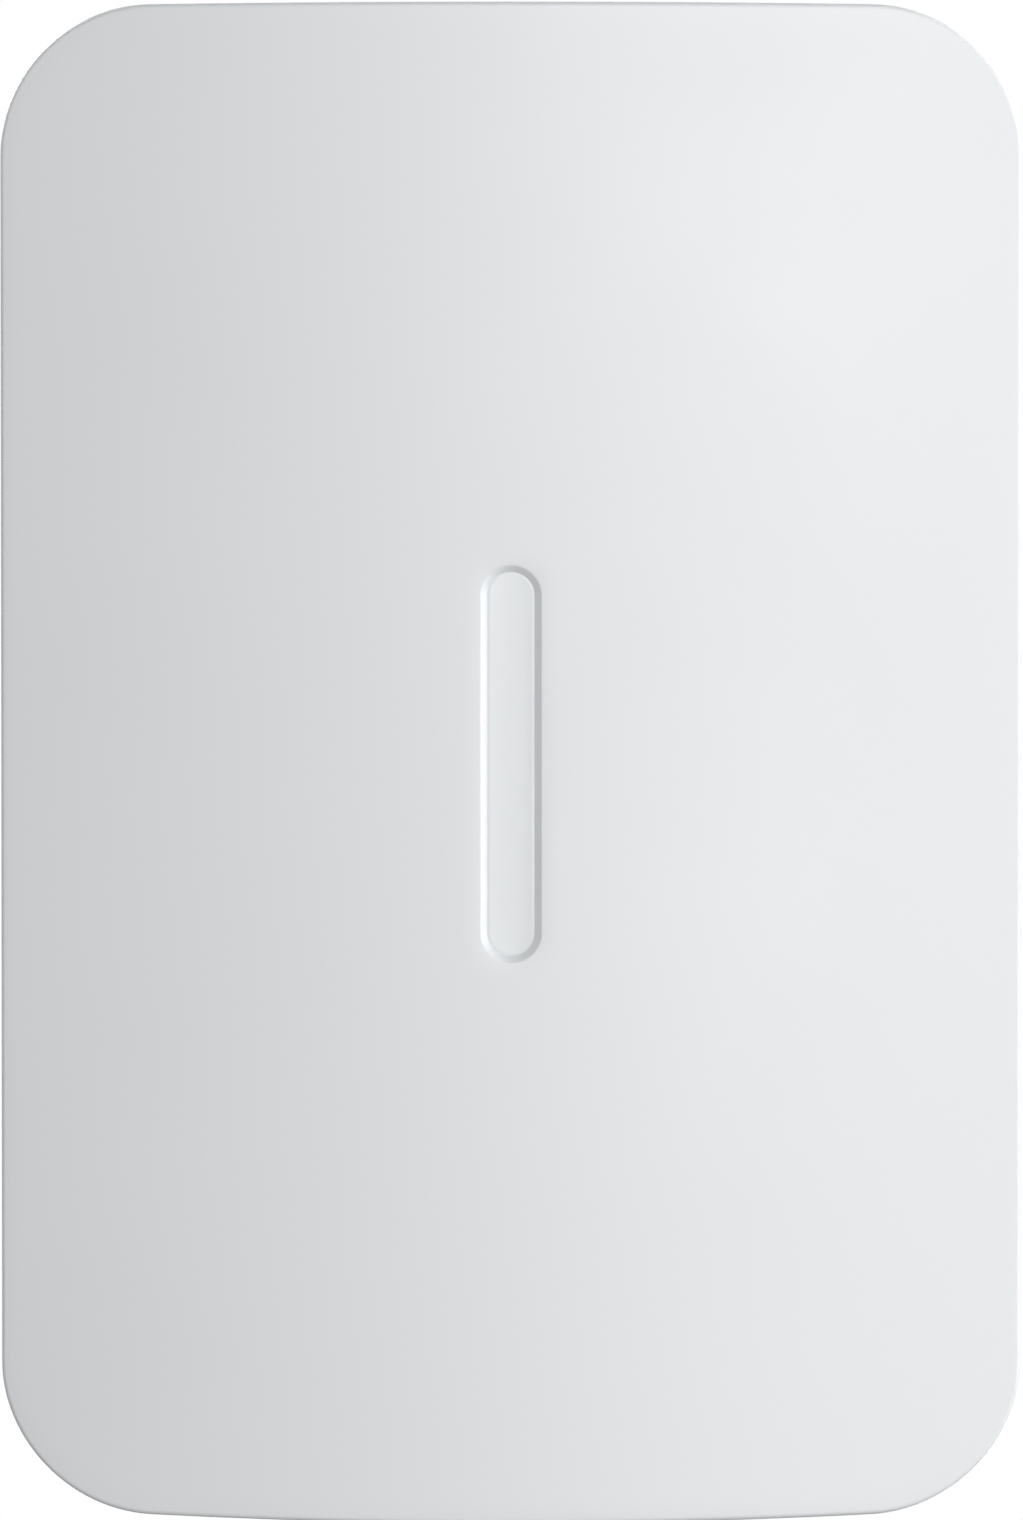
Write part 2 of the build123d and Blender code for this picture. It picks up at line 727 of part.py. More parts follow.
def make_contactors():
    """Sealed relay cans with two screw posts each."""
    can = block(-30, 30, inner_back, inner_back + 62, -38, 38)
    can = fillet(can.edges().filter_by(Axis.Y), 6)
    base = block(-30, 30, inner_back, inner_back + 5, -48, 48)
    posts = [slab(Pos(x, 12) * Circle(6), inner_back + 62, 10) for x in (-14, 14)]
    return group(Pos(x, 0, control_middle) * (can + base + posts) for x in contactor_x)


def make_main_fuse():
    """Square-bodied fuse with a bolted blade at each end, on its base."""
    base = block(-20, 20, inner_back, inner_back + 20, -54, 54)
    body = block(-17, 17, inner_back + 27, inner_back + 61, -26, 26)
    blades = [block(-9, 9, inner_back + 42, inner_back + 46, z - 14, z + 14) for z in (-40, 40)]
    posts = [block(-9, 9, inner_back + 20, inner_back + 42, z - 7, z + 7) for z in (-45, 45)]
    return Pos(fuse_x, 0, control_middle) * group([base, body + blades + posts])


def make_current_shunt():
    """Two copper ends joined by resistance strips."""
    ends = [block(-14, 14, inner_back + 30, inner_back + 38, z - 12, z + 12) for z in (-30, 30)]
    strips = [block(x - 2, x + 2, inner_back + 31, inner_back + 37, -18, 18) for x in (-8, 0, 8)]
    feet = [block(-8, 8, inner_back, inner_back + 30, z - 8, z + 8) for z in (-30, 30)]
    return Pos(shunt_x, 0, control_middle) * group([ends[0] + ends[1] + strips] + feet)


converter_width = sink_width - 2 * sink_margin - 12
converter_tall = converter_height - 2 * sink_margin - 12
converter_depth = back_gap + 20.0


def make_converter_board():
    connector = (0, -converter_tall * 0.42, 60, 14, 14)
    board = populated(converter_width, converter_tall, converter_depth, [connector])
    return Pos(0, 0, converter_middle) * board


def make_power_modules():
    """Transistor packages clamped between the heat sink's base and the converter board."""
    back = back_gap - sink_gasket
    step = converter_width / 7
    package = block(-14, 14, back, converter_depth, -20, 20)
    places = [((column - 2.5) * step, row * converter_tall * 0.28) for row in (-1, 1) for column in range(6)]
    return group(Pos(x, 0, converter_middle + z) * package for x, z in places)


def make_inductors():
    """Wound rings lying flat on the converter board."""
    ring = fillet(tube(38, 16, 40).edges(), 7)
    front = converter_depth + board_sheet
    left = 55 - converter_width / 2
    return group(room_facing(ring, left + 90 * n, front, converter_middle + 45) for n in range(3))


def make_bus_capacitors():
    can = fillet(rod(15, 46).edges().sort_by(Axis.Z)[-1], 2)
    front = converter_depth + board_sheet
    right = converter_width / 2 - 25
    places = [(right - 36 * column, 60 - 38 * row) for column in range(2) for row in range(4)]
    return group(room_facing(can, x, front, converter_middle + z) for x, z in places)


# ---- wiring compartment ----
wiring_middle = (divider - inner_top) / 2
comms_width = 190.0
comms_height = 120.0
comms_x = -150.0
comms_z = wiring_middle + 18.0
sockets_z = comms_z - comms_height / 2 + 11.0
terminal_x = cable_drop_x - 42.0
terminal_top = divider - 70.0


def make_comms_board():
    chips = [(-60, 10, 26, 26, 2.5), (0, 14, 18, 18, 2), (62, 22, 24, 14, 4), (58, -8, 14, 8, 6)]
    return Pos(comms_x, 0, comms_z) * on_posts(comms_width, comms_height, chips)


def make_data_sockets():
    """Two shielded data sockets that open downwards."""
    front = board_back + board_sheet
    shell = block(-8, 8, front, front + 13.5, -10, 11)
    mouth = block(-6, 6, front + 2.5, front + 11, -12, 4)
    return group(Pos(comms_x + x, 0, sockets_z) * (shell - mouth) for x in (-70, -48))


def make_terminal_blocks():
    """Pluggable screw terminals along the comms board's lower edge."""
    front = board_back + board_sheet
    body = block(-25, 25, front, front + 16, -7, 7)
    entries = [block(x - 1.6, x + 1.6, front + 4, front + 9, -8, 3) for x in range(-20, 25, 5)]
    screws = [block(x - 1.6, x + 1.6, front + 13, front + 17, -1, 3) for x in range(-20, 25, 5)]
    one = body - entries - screws
    return group(Pos(comms_x + x, 0, sockets_z - 3) * one for x in (-5, 55))


def make_power_terminals():
    """Insulating block with a clamp for each pole; the cables enter its top."""
    front = pole_depths[1] + 14
    body = block(-24, 24, inner_back, front, -58, 0)
    screws = [Pos(x, -front, -24) * Rot(90, 0, 0) * Cylinder(5, 8) for x in (-12, 12)]
    entries = [Pos(x, -front + 20, -58) * Cylinder(5.5, 40) for x in (-12, 12)]
    return Pos(terminal_x, 0, terminal_top) * (body - screws - entries)


def make_power_cables():
    """Both poles, from the breaker down past the cells and through the bulkhead to the terminals."""
    start_x = pocket_floor - 10.0
    breaker_low = breaker_middle - breaker_height / 2
    cables = []
    for depth in pole_depths:
        points = [
            (start_x, -depth, breaker_low),
            (start_x, -depth, breaker_low - 10),
            (cable_drop_x, -depth, breaker_low - 30),
            (cable_drop_x, -depth, divider - 14),
            (terminal_x, -depth, terminal_top + 22),
            (terminal_x, -depth, terminal_top),
        ]
        path = FilletPolyline(*points, radius=[9, 14, 40, 20])
        cables.append(sweep(Plane(path @ 0, z_dir=path % 0) * Circle(cable_radius), path))
    return group(cables)


def hexagon(radius, height):
    """Six-sided bar standing on Z = 0."""
    return extrude(RegularPolygon(radius, 6), amount=height)


def make_cable_glands():
    """Threaded bodies through the enclosure's floor."""
    body = Pos(0, 0, -gland_height) * hexagon(gland_thread + 4, gland_height)
    thread = rod(gland_thread, enclosure_wall + locknut_height + 4)
    barrel = Pos(0, 0, -gland_height - 10) * rod(gland_thread - 0.5, 10)
    gland = body + thread + barrel - Cylinder(gland_bore, 100)
    return group(Pos(x, -gland_depth, bottom) * gland for x in (gland_x[0], gland_x[3]))


def make_gland_nuts():
    nut = hexagon(gland_thread + 3.5, gland_nut_height)
    nut = nut & fillet(rod(gland_thread + 3.2, gland_nut_height).edges().sort_by(Axis.Z)[0], 4)
    counterbore = Pos(0, 0, gland_nut_height - 9.5) * rod(gland_thread - 0.5, 20)
    nut = nut - counterbore - Cylinder(gland_bore - 1, 100)
    low = bottom - gland_height - 0.5 - gland_nut_height
    return group(Pos(x, -gland_depth, low) * nut for x in (gland_x[0], gland_x[3]))


seal_length = 18.0
seal_low = bottom - gland_height - 10.0


def make_gland_seals():
    """Rubber sleeves that grip the cable."""
    places = ((gland_x[0], cable_data), (gland_x[3], cable_power))
    return group(Pos(x, -gland_depth, seal_low) * tube(gland_bore, hole, seal_length) for x, hole in places)


def make_gland_locknuts():
    nut = hexagon(gland_thread + 5, locknut_height) - Cylinder(gland_thread, 40)
    return group(Pos(x, -gland_depth, bottom + enclosure_wall) * nut for x in gland_x)


def make_blanking_plugs():
    head = Pos(0, 0, -6) * hexagon(gland_thread + 3.5, 6)
    head = head & fillet((Pos(0, 0, -6) * rod(gland_thread + 3.2, 6)).edges().sort_by(Axis.Z)[0], 2)
    plug = head + rod(gland_thread, enclosure_wall + locknut_height + 2)
    return group(Pos(x, -gland_depth, bottom) * plug for x in gland_x[1:3])


# ---- switches ----
flap_x = side + pocket_flange + flap_pivot + 0.5
flap_z = control_middle + pocket_height / 2 - 8.0
toggle_x = pocket_floor + nose_depth - 5.0


def make_switch_pocket():
    """Moulded pocket in the right wall, with ears for the flap."""
    place = Pos(-pocket_middle_depth, control_middle)
    flange = side_slab(place * RectangleRounded(pocket_width, pocket_height, 9), side, pocket_flange)
    outer = place * RectangleRounded(pocket_width - 2 * pocket_rim, pocket_height - 2 * pocket_rim, 6)
    rim = pocket_rim + pocket_wall
    inner = place * RectangleRounded(pocket_width - 2 * rim, pocket_height - 2 * rim, 4)
    pocket = flange + side_slab(outer, pocket_floor, pocket_depth)
    pocket = pocket - side_slab(inner, pocket_floor + pocket_wall, pocket_depth + 10)
    nose = Pos(-pocket_middle_depth, breaker_middle) * Rectangle(breaker_width + 0.6, breaker_nose + 0.6)
    button = Pos(-pocket_middle_depth, button_middle) * Circle(button_radius + 1.6)
    pocket = pocket - side_slab(nose, pocket_floor - 5, 10) - side_slab(button, pocket_floor - 5, 10)
    ear = Circle(4) + Pos(-2, 0) * Rectangle(4, 8)
    for way in (-1, 1):
        start = pocket_middle_depth + way * 38.5 - 2
        stand = extrude(Plane.XZ.offset(start) * Pos(flap_x, flap_z) * ear, amount=4)
        hole = extrude(Plane.XZ.offset(start - 5) * Pos(flap_x, flap_z) * Circle(1.5 + pin_fit), amount=14)
        pocket = pocket + stand - hole
    return pocket


def make_switch_flap():
    """Flap hung from a barrel along its top, with a finger lip along its foot."""
    face = side + pocket_flange + 1.0
    half = pocket_width / 2 - 2
    low = control_middle - pocket_height / 2 + 4
    top = flap_z - 6
    outline = Pos(-pocket_middle_depth, (low + top) / 2) * RectangleRounded(2 * half, top - low, 2)
    plate = side_slab(outline, face, flap_sheet)
    near = pocket_middle_depth - 36
    far = pocket_middle_depth + 36
    web = block(face, face + flap_sheet, near, far, top - 2, flap_z)
    barrel = extrude(Plane.XZ.offset(near) * Pos(flap_x, flap_z) * Circle(flap_pivot), amount=far - near)
    pins = extrude(Plane.XZ.offset(near - 4) * Pos(flap_x, flap_z) * Circle(1.5), amount=far - near + 8)
    lip = block(face, face + flap_sheet + 4, near + 16, far - 16, low, low + 2.5)
    return plate + web + barrel + pins + lip


def make_breaker_body():
    """Two-pole breaker: body behind the pocket, nose through its floor."""
    half = breaker_width / 2
    body = block(breaker_left, pocket_floor, -half, half, -breaker_height / 2, breaker_height / 2)
    nose = block(pocket_floor, pocket_floor + nose_depth, -half, half, -breaker_nose / 2, breaker_nose / 2)
    slot_half = toggle_width / 2 + fit_gap
    hub = Pos(toggle_x, 0, 0) * Rot(90, 0, 0) * Cylinder(toggle_radius + fit_gap, 2 * slot_half)
    slot = block(toggle_x, toggle_x + 20, -slot_half, slot_half, -12, 12)
    return Pos(0, -pocket_middle_depth, breaker_middle) * (body + nose - hub - slot)


def make_breaker_toggle():
    """Hub with a lever, up when the breaker is on."""
    hub = Rot(90, 0, 0) * Cylinder(toggle_radius, toggle_width)
    lever = Pos(toggle_reach / 2 + 1, 0, 0) * Box(toggle_reach - 2, toggle_width, 5)
    lever = fillet(lever.edges().filter_by(Axis.Y).sort_by(Axis.X)[-2:], 2)
    return Pos(toggle_x, -pocket_middle_depth, breaker_middle) * Rot(0, -toggle_tilt, 0) * (hub + lever)


def make_button_body():
    """Push-button case behind the pocket's floor, with a round bezel in front of it."""
    bezel_front = pocket_wall + 3
    body = Pos(0, 0, -25) * rod(button_radius + button_case, 25) + rod(button_radius + 1.3, pocket_wall)
    body = body + Pos(0, 0, pocket_wall) * rod(button_radius + button_bezel, 3)
    bore = Pos(0, 0, -8) * rod(button_radius + fit_gap, bezel_front + 20)
    return right_facing(body - bore, pocket_floor, pocket_middle_depth, button_middle)


def make_power_button():
    cap = Pos(0, 0, -4) * rod(button_radius, 4 + pocket_wall + 3 + button_proud)
    cap = fillet(cap.edges().sort_by(Axis.Z)[-1], 1)
    return right_facing(cap, pocket_floor, pocket_middle_depth, button_middle)


# ---- lifting handles ----
handle_x = side + handle_stand
handle_z = converter_middle + 30.0


def make_handle_lugs():
    lug = block(side, handle_x, -lug_sheet / 2, lug_sheet / 2, handle_z - 8, handle_z + 8)
    lug = lug + Pos(handle_x, 0, handle_z) * Rot(90, 0, 0) * Cylinder(8, lug_sheet)
    lug = lug - Pos(handle_x, 0, handle_z) * Rot(90, 0, 0) * Cylinder(handle_pin, 40)
    reach = handle_span / 2 + eye_sheet / 2 + 0.5 + lug_sheet / 2
    lugs = [Pos(0, -handle_depth + way * reach, 0) * lug for way in (-1, 1)]
    return group(lugs + [mirror(one, Plane.YZ) for one in lugs])


def make_handle_pins():
    length = eye_sheet + lug_sheet + 0.5
    reach = handle_span / 2 - eye_sheet / 2 + length / 2
    pin = Rot(90, 0, 0) * Cylinder(handle_pin, length)
    pins = [Pos(handle_x, -handle_depth + way * reach, handle_z) * pin for way in (-1, 1)]
    return group(pins + [mirror(one, Plane.YZ) for one in pins])


def make_right_handle():
    """Bail that hangs down beside the enclosure, with an eye round each pin."""
    half = handle_span / 2
    start = -(eye_radius - 2)
    corners = [(0, -half, start), (0, -half, -handle_drop), (0, half, -handle_drop), (0, half, start)]
    path = FilletPolyline(*corners, radius=handle_bend)
    bar = sweep(Plane(path @ 0, z_dir=path % 0) * Circle(handle_rod), path)
    bar += [Pos(0, y, 0) * Rot(90, 0, 0) * Cylinder(eye_radius, eye_sheet) for y in (-half, half)]
    bar -= Rot(90, 0, 0) * Cylinder(handle_pin + pin_fit, 2 * handle_span)
    return Pos(handle_x, -handle_depth, handle_z) * bar


def make_right_grip():
    sleeve = tube(grip_radius, handle_rod + pin_fit, grip_length)
    grip = fillet(sleeve.edges().filter_by(GeomType.CIRCLE).sort_by(SortBy.RADIUS)[-2:], 2)
    return Pos(handle_x, -handle_depth - grip_length / 2, handle_z - handle_drop) * Rot(-90, 0, 0) * grip


nodes = {
    "front_cover": make_front_cover(),
    "cover_studs": make_cover_studs(),
    "light_window": make_light_window(),
    "light_housing": make_light_housing(),
    "light_board": make_light_board(),
    "cover_brackets": make_cover_brackets(),
    "cover_grommets": make_cover_grommets(),
    "enclosure_tub": make_enclosure_tub(),
    "chamber_bulkhead": make_chamber_bulkhead(),
    "lid_gasket": make_gasket(True),
    "wiring_gasket": make_gasket(False),
    "enclosure_lid": make_enclosure_lid(),
    "wiring_cover": make_wiring_cover(),
    "lid_screws": make_lid_screws(),
    "rear_screws": make_rear_screws(),
    "pressure_vent": make_pressure_vent(),
    "earth_stud": make_earth_stud(),
    "hang_rail": make_hang_rail(),
    "lock_tabs": make_lock_tabs(),
    "lock_screws": make_lock_screws(),
    "wall_bumpers": make_wall_bumpers(),
    "heat_sink": make_heat_sink(),
    "heat_sink_gasket": make_heat_sink_gasket(),
    "battery_cells": make_battery_cells(),
    "module_end_plates": make_module_end_plates(),
    "module_straps": make_module_straps(),
    "module_rails": make_module_rails(),
    "cell_busbars": make_cell_busbars(),
    "sense_boards": make_sense_boards(),
    "bms_board": make_bms_board(),
    "contactors": make_contactors(),
    "main_fuse": make_main_fuse(),
    "current_shunt": make_current_shunt(),
    "converter_board": make_converter_board(),
    "power_modules": make_power_modules(),
    "inductors": make_inductors(),
    "bus_capacitors": make_bus_capacitors(),
    "comms_board": make_comms_board(),
    "data_sockets": make_data_sockets(),
    "terminal_blocks": make_terminal_blocks(),
    "power_terminals": make_power_terminals(),
    "power_cables": make_power_cables(),
    "cable_glands": make_cable_glands(),
    "gland_nuts": make_gland_nuts(),
    "gland_seals": make_gland_seals(),
    "gland_locknuts": make_gland_locknuts(),
    "blanking_plugs": make_blanking_plugs(),
    "switch_pocket": make_switch_pocket(),
    "switch_flap": make_switch_flap(),
    "breaker_body": make_breaker_body(),
    "breaker_toggle": make_breaker_toggle(),
    "button_body": make_button_body(),
    "power_button": make_power_button(),
    "handle_lugs": make_handle_lugs(),
    "handle_pins": make_handle_pins(),
    "right_handle": make_right_handle(),
    "right_grip": make_right_grip(),
    "left_handle": mirror(make_right_handle(), Plane.YZ),
    "left_grip": mirror(make_right_grip(), Plane.YZ),
}

os.makedirs("parts", exist_ok=True)
save("wall_bracket", make_wall_bracket(), rise=0)
for name, part in nodes.items():
    save(name, part)
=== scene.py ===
import json
import math

import bmesh
import bpy
import numpy as np
from bpy.props import FloatProperty, FloatVectorProperty, IntProperty, PointerProperty
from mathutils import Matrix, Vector

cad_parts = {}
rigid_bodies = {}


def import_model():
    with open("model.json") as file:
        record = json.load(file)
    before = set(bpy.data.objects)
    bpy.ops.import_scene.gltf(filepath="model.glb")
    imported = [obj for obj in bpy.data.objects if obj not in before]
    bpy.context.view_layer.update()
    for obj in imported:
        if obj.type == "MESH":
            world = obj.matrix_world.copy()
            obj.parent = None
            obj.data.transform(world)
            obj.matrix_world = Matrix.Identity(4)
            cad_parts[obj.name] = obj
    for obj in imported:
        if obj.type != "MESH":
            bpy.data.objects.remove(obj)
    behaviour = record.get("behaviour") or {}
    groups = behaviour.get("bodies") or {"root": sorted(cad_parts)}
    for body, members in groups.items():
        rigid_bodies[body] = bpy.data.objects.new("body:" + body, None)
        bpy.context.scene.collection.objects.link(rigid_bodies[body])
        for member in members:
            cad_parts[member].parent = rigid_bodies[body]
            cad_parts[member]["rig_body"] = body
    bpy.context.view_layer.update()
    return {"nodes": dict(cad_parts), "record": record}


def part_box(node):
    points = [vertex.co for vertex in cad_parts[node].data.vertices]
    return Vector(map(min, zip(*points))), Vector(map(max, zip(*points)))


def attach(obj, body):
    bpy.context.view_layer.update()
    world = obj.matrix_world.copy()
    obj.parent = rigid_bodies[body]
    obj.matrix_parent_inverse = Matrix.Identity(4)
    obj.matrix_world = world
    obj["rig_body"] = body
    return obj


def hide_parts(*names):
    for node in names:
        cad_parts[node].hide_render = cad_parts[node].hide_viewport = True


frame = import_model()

# Looks of a wall battery unit: a crowned white cover with a recessed light bar over a
# powder-coated enclosure. Metres; +X right, -Y into the room, +Z up, origin at the wall.

bl_info = {
    "name": "Wall battery unit",
    "version": (1, 0, 0),
    "blender": (4, 5, 0),
    "location": "3D View > Sidebar > Wall battery",
    "description": "Builds the cover, light bar, handles, finishes and studio of a wall battery unit",
    "category": "Object",
}

cover_low, cover_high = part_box("front_cover")
BOX_SLACK = 0.0001  # keeps the new cover inside the old one's box
COVER_WIDTH = cover_high.x - cover_low.x - BOX_SLACK
COVER_HEIGHT = cover_high.z - cover_low.z
COVER_FRONT = -cover_low.y
COVER_BACK = -cover_high.y
COVER_MIDDLE = (cover_low.z + cover_high.z) / 2
WINDOW_WALL = 0.004  # from the window's front back to its flange
INNER_EDGE = 0.0012  # rounding inside the cover
STUD_RADIUS = 0.004
EYE_LENGTH = 0.010  # of the handles' eyes, along their pins
PIN_BORE = 0.00305
FLOOR_LEVEL = -1.25
FLOOR_HALF = 30.0
LAMP_REACH = 12.0
LAMP_SIZE = (2.7, 7.5)
SENSOR_WIDTH = 36.0  # millimetres
FAR_CLIP = 200.0


# ---- sizes and colours a user may change ----
class CoverSizes(bpy.types.PropertyGroup):
    corner: FloatProperty(
        name="Corner", description="Radius of the cover's corners", default=0.118, unit="LENGTH"
    )
    crown: FloatProperty(
        name="Crown",
        description="How far the face bulges at its centre line",
        default=0.032,
        unit="LENGTH",
    )
    wall: FloatProperty(
        name="Wall", description="Thickness of the moulding", default=0.003, unit="LENGTH"
    )
    draft: FloatProperty(
        name="Draft", description="Lean of the cover's sides", default=math.radians(3), subtype="ANGLE"
    )
    edge: FloatProperty(
        name="Edge", description="Rounding between face and sides", default=0.0038, unit="LENGTH"
    )
    bar_width: FloatProperty(
        name="Bar width", description="Width of the light bar's recess", default=0.047, unit="LENGTH"
    )
    bar_length: FloatProperty(
        name="Bar length", description="Length of the light bar's recess", default=0.308, unit="LENGTH"
    )
    bevel: FloatProperty(
        name="Bevel",
        description="Depth of the recess round the light bar",
        default=0.005,
        unit="LENGTH",
    )
    soft: FloatProperty(
        name="Bevel softness", description="Rounding along the recess", default=0.0021, unit="LENGTH"
    )
    bow_top: FloatProperty(
        name="Top bow",
        description="How far the top edge falls at its ends",
        default=0.003,
        unit="LENGTH",
    )
    bow_foot: FloatProperty(
        name="Foot bow",
        description="How far the bottom edge rises at its ends",
        default=0.010,
        unit="LENGTH",
    )


class HandleSizes(bpy.types.PropertyGroup):
    rod: FloatProperty(
        name="Rod", description="Radius of the handle's bar", default=0.0045, unit="LENGTH"
    )
    bend: FloatProperty(
        name="Bend", description="Radius of the bar's bends", default=0.016, unit="LENGTH"
    )
    ribs: IntProperty(name="Ribs", description="Rings moulded round the grip", default=13, min=3)
    rib_depth: FloatProperty(
        name="Rib depth", description="Depth of the grooves in the grip", default=0.0007, unit="LENGTH"
    )


def colour(name, description, default):
    """A colour property with its default."""
    return FloatVectorProperty(
        name=name, description=description, default=default, subtype="COLOR", size=3, min=0, max=1
    )


class Finishes(bpy.types.PropertyGroup):
    cover: colour("Cover", "White of the moulded cover", (0.812, 0.83, 0.848))
    # Painted light: the opal is a shade lighter than the cover to make up for the shade the recess
    # walls cast on the bar.
    window: colour("Light window", "Opal of the unlit light bar", (0.83, 0.848, 0.862))
    enclosure: colour("Enclosure", "Powder coat of the enclosure", (0.40, 0.415, 0.43))
    bracket: colour("Bracket", "Powder coat of the wall bracket", (0.085, 0.09, 0.095))
    toggle: colour("Toggle", "Moulding of the breaker's lever", (0.55, 0.03, 0.02))


class Studio(bpy.types.PropertyGroup):
    distance: FloatProperty(
        name="Camera distance", description="From the cover's face", default=16.0, unit="LENGTH"
    )
    rise: FloatProperty(
        name="Camera rise", description="Above the cover's middle", default=0.94, unit="LENGTH"
    )
    framed: FloatProperty(
        name="Framed width", description="Width seen at the cover's edge", default=0.7925, unit="LENGTH"
    )
    aside: FloatProperty(name="Shift across", description="Of the picture, in widths", default=0.0005)
    above: FloatProperty(name="Shift up", description="Of the picture, in widths", default=0.002)
    front: FloatProperty(
        name="Front lamp", description="Power of the soft lamp in front", default=1105.0
    )
    side: FloatProperty(
        name="Side lamp", description="Power of the soft lamp on the right", default=505.0
    )
    graze: FloatProperty(
        name="Grazing lamp", description="Power of the lamp beside the unit", default=860.0
    )
    back: FloatProperty(
        name="Back lamps", description="Power of the lamps behind the unit", default=1500.0
    )
    ambient: FloatProperty(name="Ambient", description="Light from all round", default=0.2)


# ---- surfaces ----
def quads(rows, columns, close_rows=False, close_columns=True):
    """Faces of a grid of points: each joins a point to its neighbours in the next row and column,
    and the grid may close on itself either way."""
    row = np.arange(rows if close_rows else rows - 1)
    column = np.arange(columns if close_columns else columns - 1)
    i, j = np.meshgrid(row, column, indexing="ij")
    i, j = i.ravel(), j.ravel()
    down, right = (i + 1) % rows, (j + 1) % columns
    here, below = i * columns, down * columns
    return np.stack([here + j, here + right, below + right, below + j], 1)


def grid_part(points, close_rows=False, caps=False):
    """A grid of points as (points, faces). With caps, the first and last rows are closed by fans
    round their own middles."""
    rows, columns = points.shape[:2]
    faces = quads(rows, columns, close_rows).tolist()
    flat = points.reshape(-1, 3)
    if caps:
        ends = np.stack([points[0].mean(0), points[-1].mean(0)])
        here = np.arange(columns)
        after = np.roll(here, -1)
        last = (rows - 1) * columns
        middle = len(flat)
        faces += np.stack([np.full(columns, middle), after, here], 1).tolist()
        faces += np.stack([np.full(columns, middle + 1), last + here, last + after], 1).tolist()
        flat = np.concatenate([flat, ends])
    return flat, faces


def piece(name, parts, material, body, stands_for, sharp=35.0):
    """Mesh object from (points, faces) parts, faces outwards, with sharp edges above an angle."""
    points, faces, start = [], [], 0
    for part_points, part_faces in parts:
        points.append(part_points)
        faces += [[corner + start for corner in face] for face in part_faces]
        start += len(part_points)
    mesh = bpy.data.meshes.new(name)
    mesh.from_pydata(np.concatenate(points).tolist(), [], faces)
    finish_mesh(mesh, sharp)
    made = bpy.data.objects.new(name, mesh)
    bpy.context.scene.collection.objects.link(made)
    mesh.materials.append(material)
    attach(made, body)
    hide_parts(stands_for)
    return made


def finish_mesh(mesh, sharp):
    """Turn faces outwards and shade smoothly between edges sharper than an angle."""
    shape = bmesh.new()
    shape.from_mesh(mesh)
    bmesh.ops.recalc_face_normals(shape, faces=shape.faces)
    shape.to_mesh(mesh)
    shape.free()
    mesh.validate()
    mesh.shade_smooth()
    mesh.set_sharp_from_angle(angle=math.radians(sharp))


def outline(width, height, radius, counts):
    """Points and outward normals round a rounded rectangle from the middle of its right side.
    One quarter is a run up the side, a quarter circle whose centre stands one radius in, and a run
    along the top; the rest mirrors and turns it."""
    side, arc, end = counts
    across, up = width / 2 - radius, height / 2 - radius
    turn = np.linspace(0, math.pi / 2, arc + 1)
    runs = [
        (np.full(side, across + radius), np.linspace(0, up, side, endpoint=False), np.zeros(side)),
        (across + radius * np.cos(turn), up + radius * np.sin(turn), turn),
        (np.linspace(across, 0, end + 1)[1:], np.full(end, up + radius), np.full(end, math.pi / 2)),
    ]
    x, z, angle = (np.concatenate(column) for column in zip(*runs))
    quarter = np.stack([x, z], 1)
    normal = np.stack([np.cos(angle), np.sin(angle)], 1)
    flip = np.array([-1, 1])
    half = np.concatenate([quarter, (quarter * flip)[::-1][1:]])[:-1]
    half_normal = np.concatenate([normal, (normal * flip)[::-1][1:]])[:-1]
    return np.concatenate([half, -half]), np.concatenate([half_normal, -half_normal])


def lathe(profile, centre, way, count):
    """Profile of (radius, height) points carried round an axis through a centre."""
    way = Vector(way).normalized()
    side = way.orthogonal().normalized()
    other = way.cross(side)
    turn = np.linspace(0, 2 * math.pi, count, endpoint=False)
    ring = np.outer(np.cos(turn), side) + np.outer(np.sin(turn), other)
    profile = np.asarray(profile)
    points = profile[:, None, :1] * ring[None] + profile[:, None, 1:] * np.asarray(way)
    return points + np.asarray(centre)


def tube_along(path, radius, count):
    """Tube of one radius along a path in a plane across X: at each point a circle stands square to
    the path's direction."""
    path = np.asarray(path)
    way = np.gradient(path, axis=0)
    way /= np.linalg.norm(way, axis=1, keepdims=True)
    across = np.array([1.0, 0, 0])
    other = np.cross(way, across)
    turn = np.linspace(0, 2 * math.pi, count, endpoint=False)
    ring = np.cos(turn)[None, :, None] * across + np.sin(turn)[None, :, None] * other[:, None]
    return path[:, None] + radius * ring


def rounded_path(corners, radius, steps=10):
    """Points of a path whose corners are quarter bends: each bend's centre stands one radius in
    along both of its runs."""
    corners = np.asarray(corners, float)
    points = [corners[0]]
    for before, here, after in zip(corners, corners[1:], corners[2:]):
        into = (here - before) / np.linalg.norm(here - before)
        out = (after - here) / np.linalg.norm(after - here)
        turn = np.linspace(0, math.pi / 2, steps + 1)[:, None]
        centre = here - into * radius + out * radius
        points += list(centre + radius * (into * np.sin(turn) - out * np.cos(turn)))
    points.append(corners[-1])
    return np.array(points)


# ---- shader groups ----
def group_tree(name, inputs, outputs):
    """An empty node group with named sockets."""
    tree = bpy.data.node_groups.new(name, "ShaderNodeTree")
    for label, kind, value in inputs:
        socket = tree.interface.new_socket(label, in_out="INPUT", socket_type=kind)
        if value is not None:
            socket.default_value = value
    for label, kind in outputs:
        tree.interface.new_socket(label, in_out="OUTPUT", socket_type=kind)
    return tree, tree.nodes.new("NodeGroupInput"), tree.nodes.new("NodeGroupOutput")


def add_node(tree, kind, settings=None, **inputs):
    """A node with its settings, and inputs that are numbers or other nodes' outputs."""
    node = tree.nodes.new(kind)
    for key, value in (settings or {}).items():
        setattr(node, key, value)
    for key, value in inputs.items():
        socket = node.inputs[int(key[1:])] if key[0] == "i" and key[1:].isdigit() else node.inputs[key]
        if isinstance(value, bpy.types.NodeSocket):
            tree.links.new(value, socket)
        else:
            socket.default_value = value
    return node


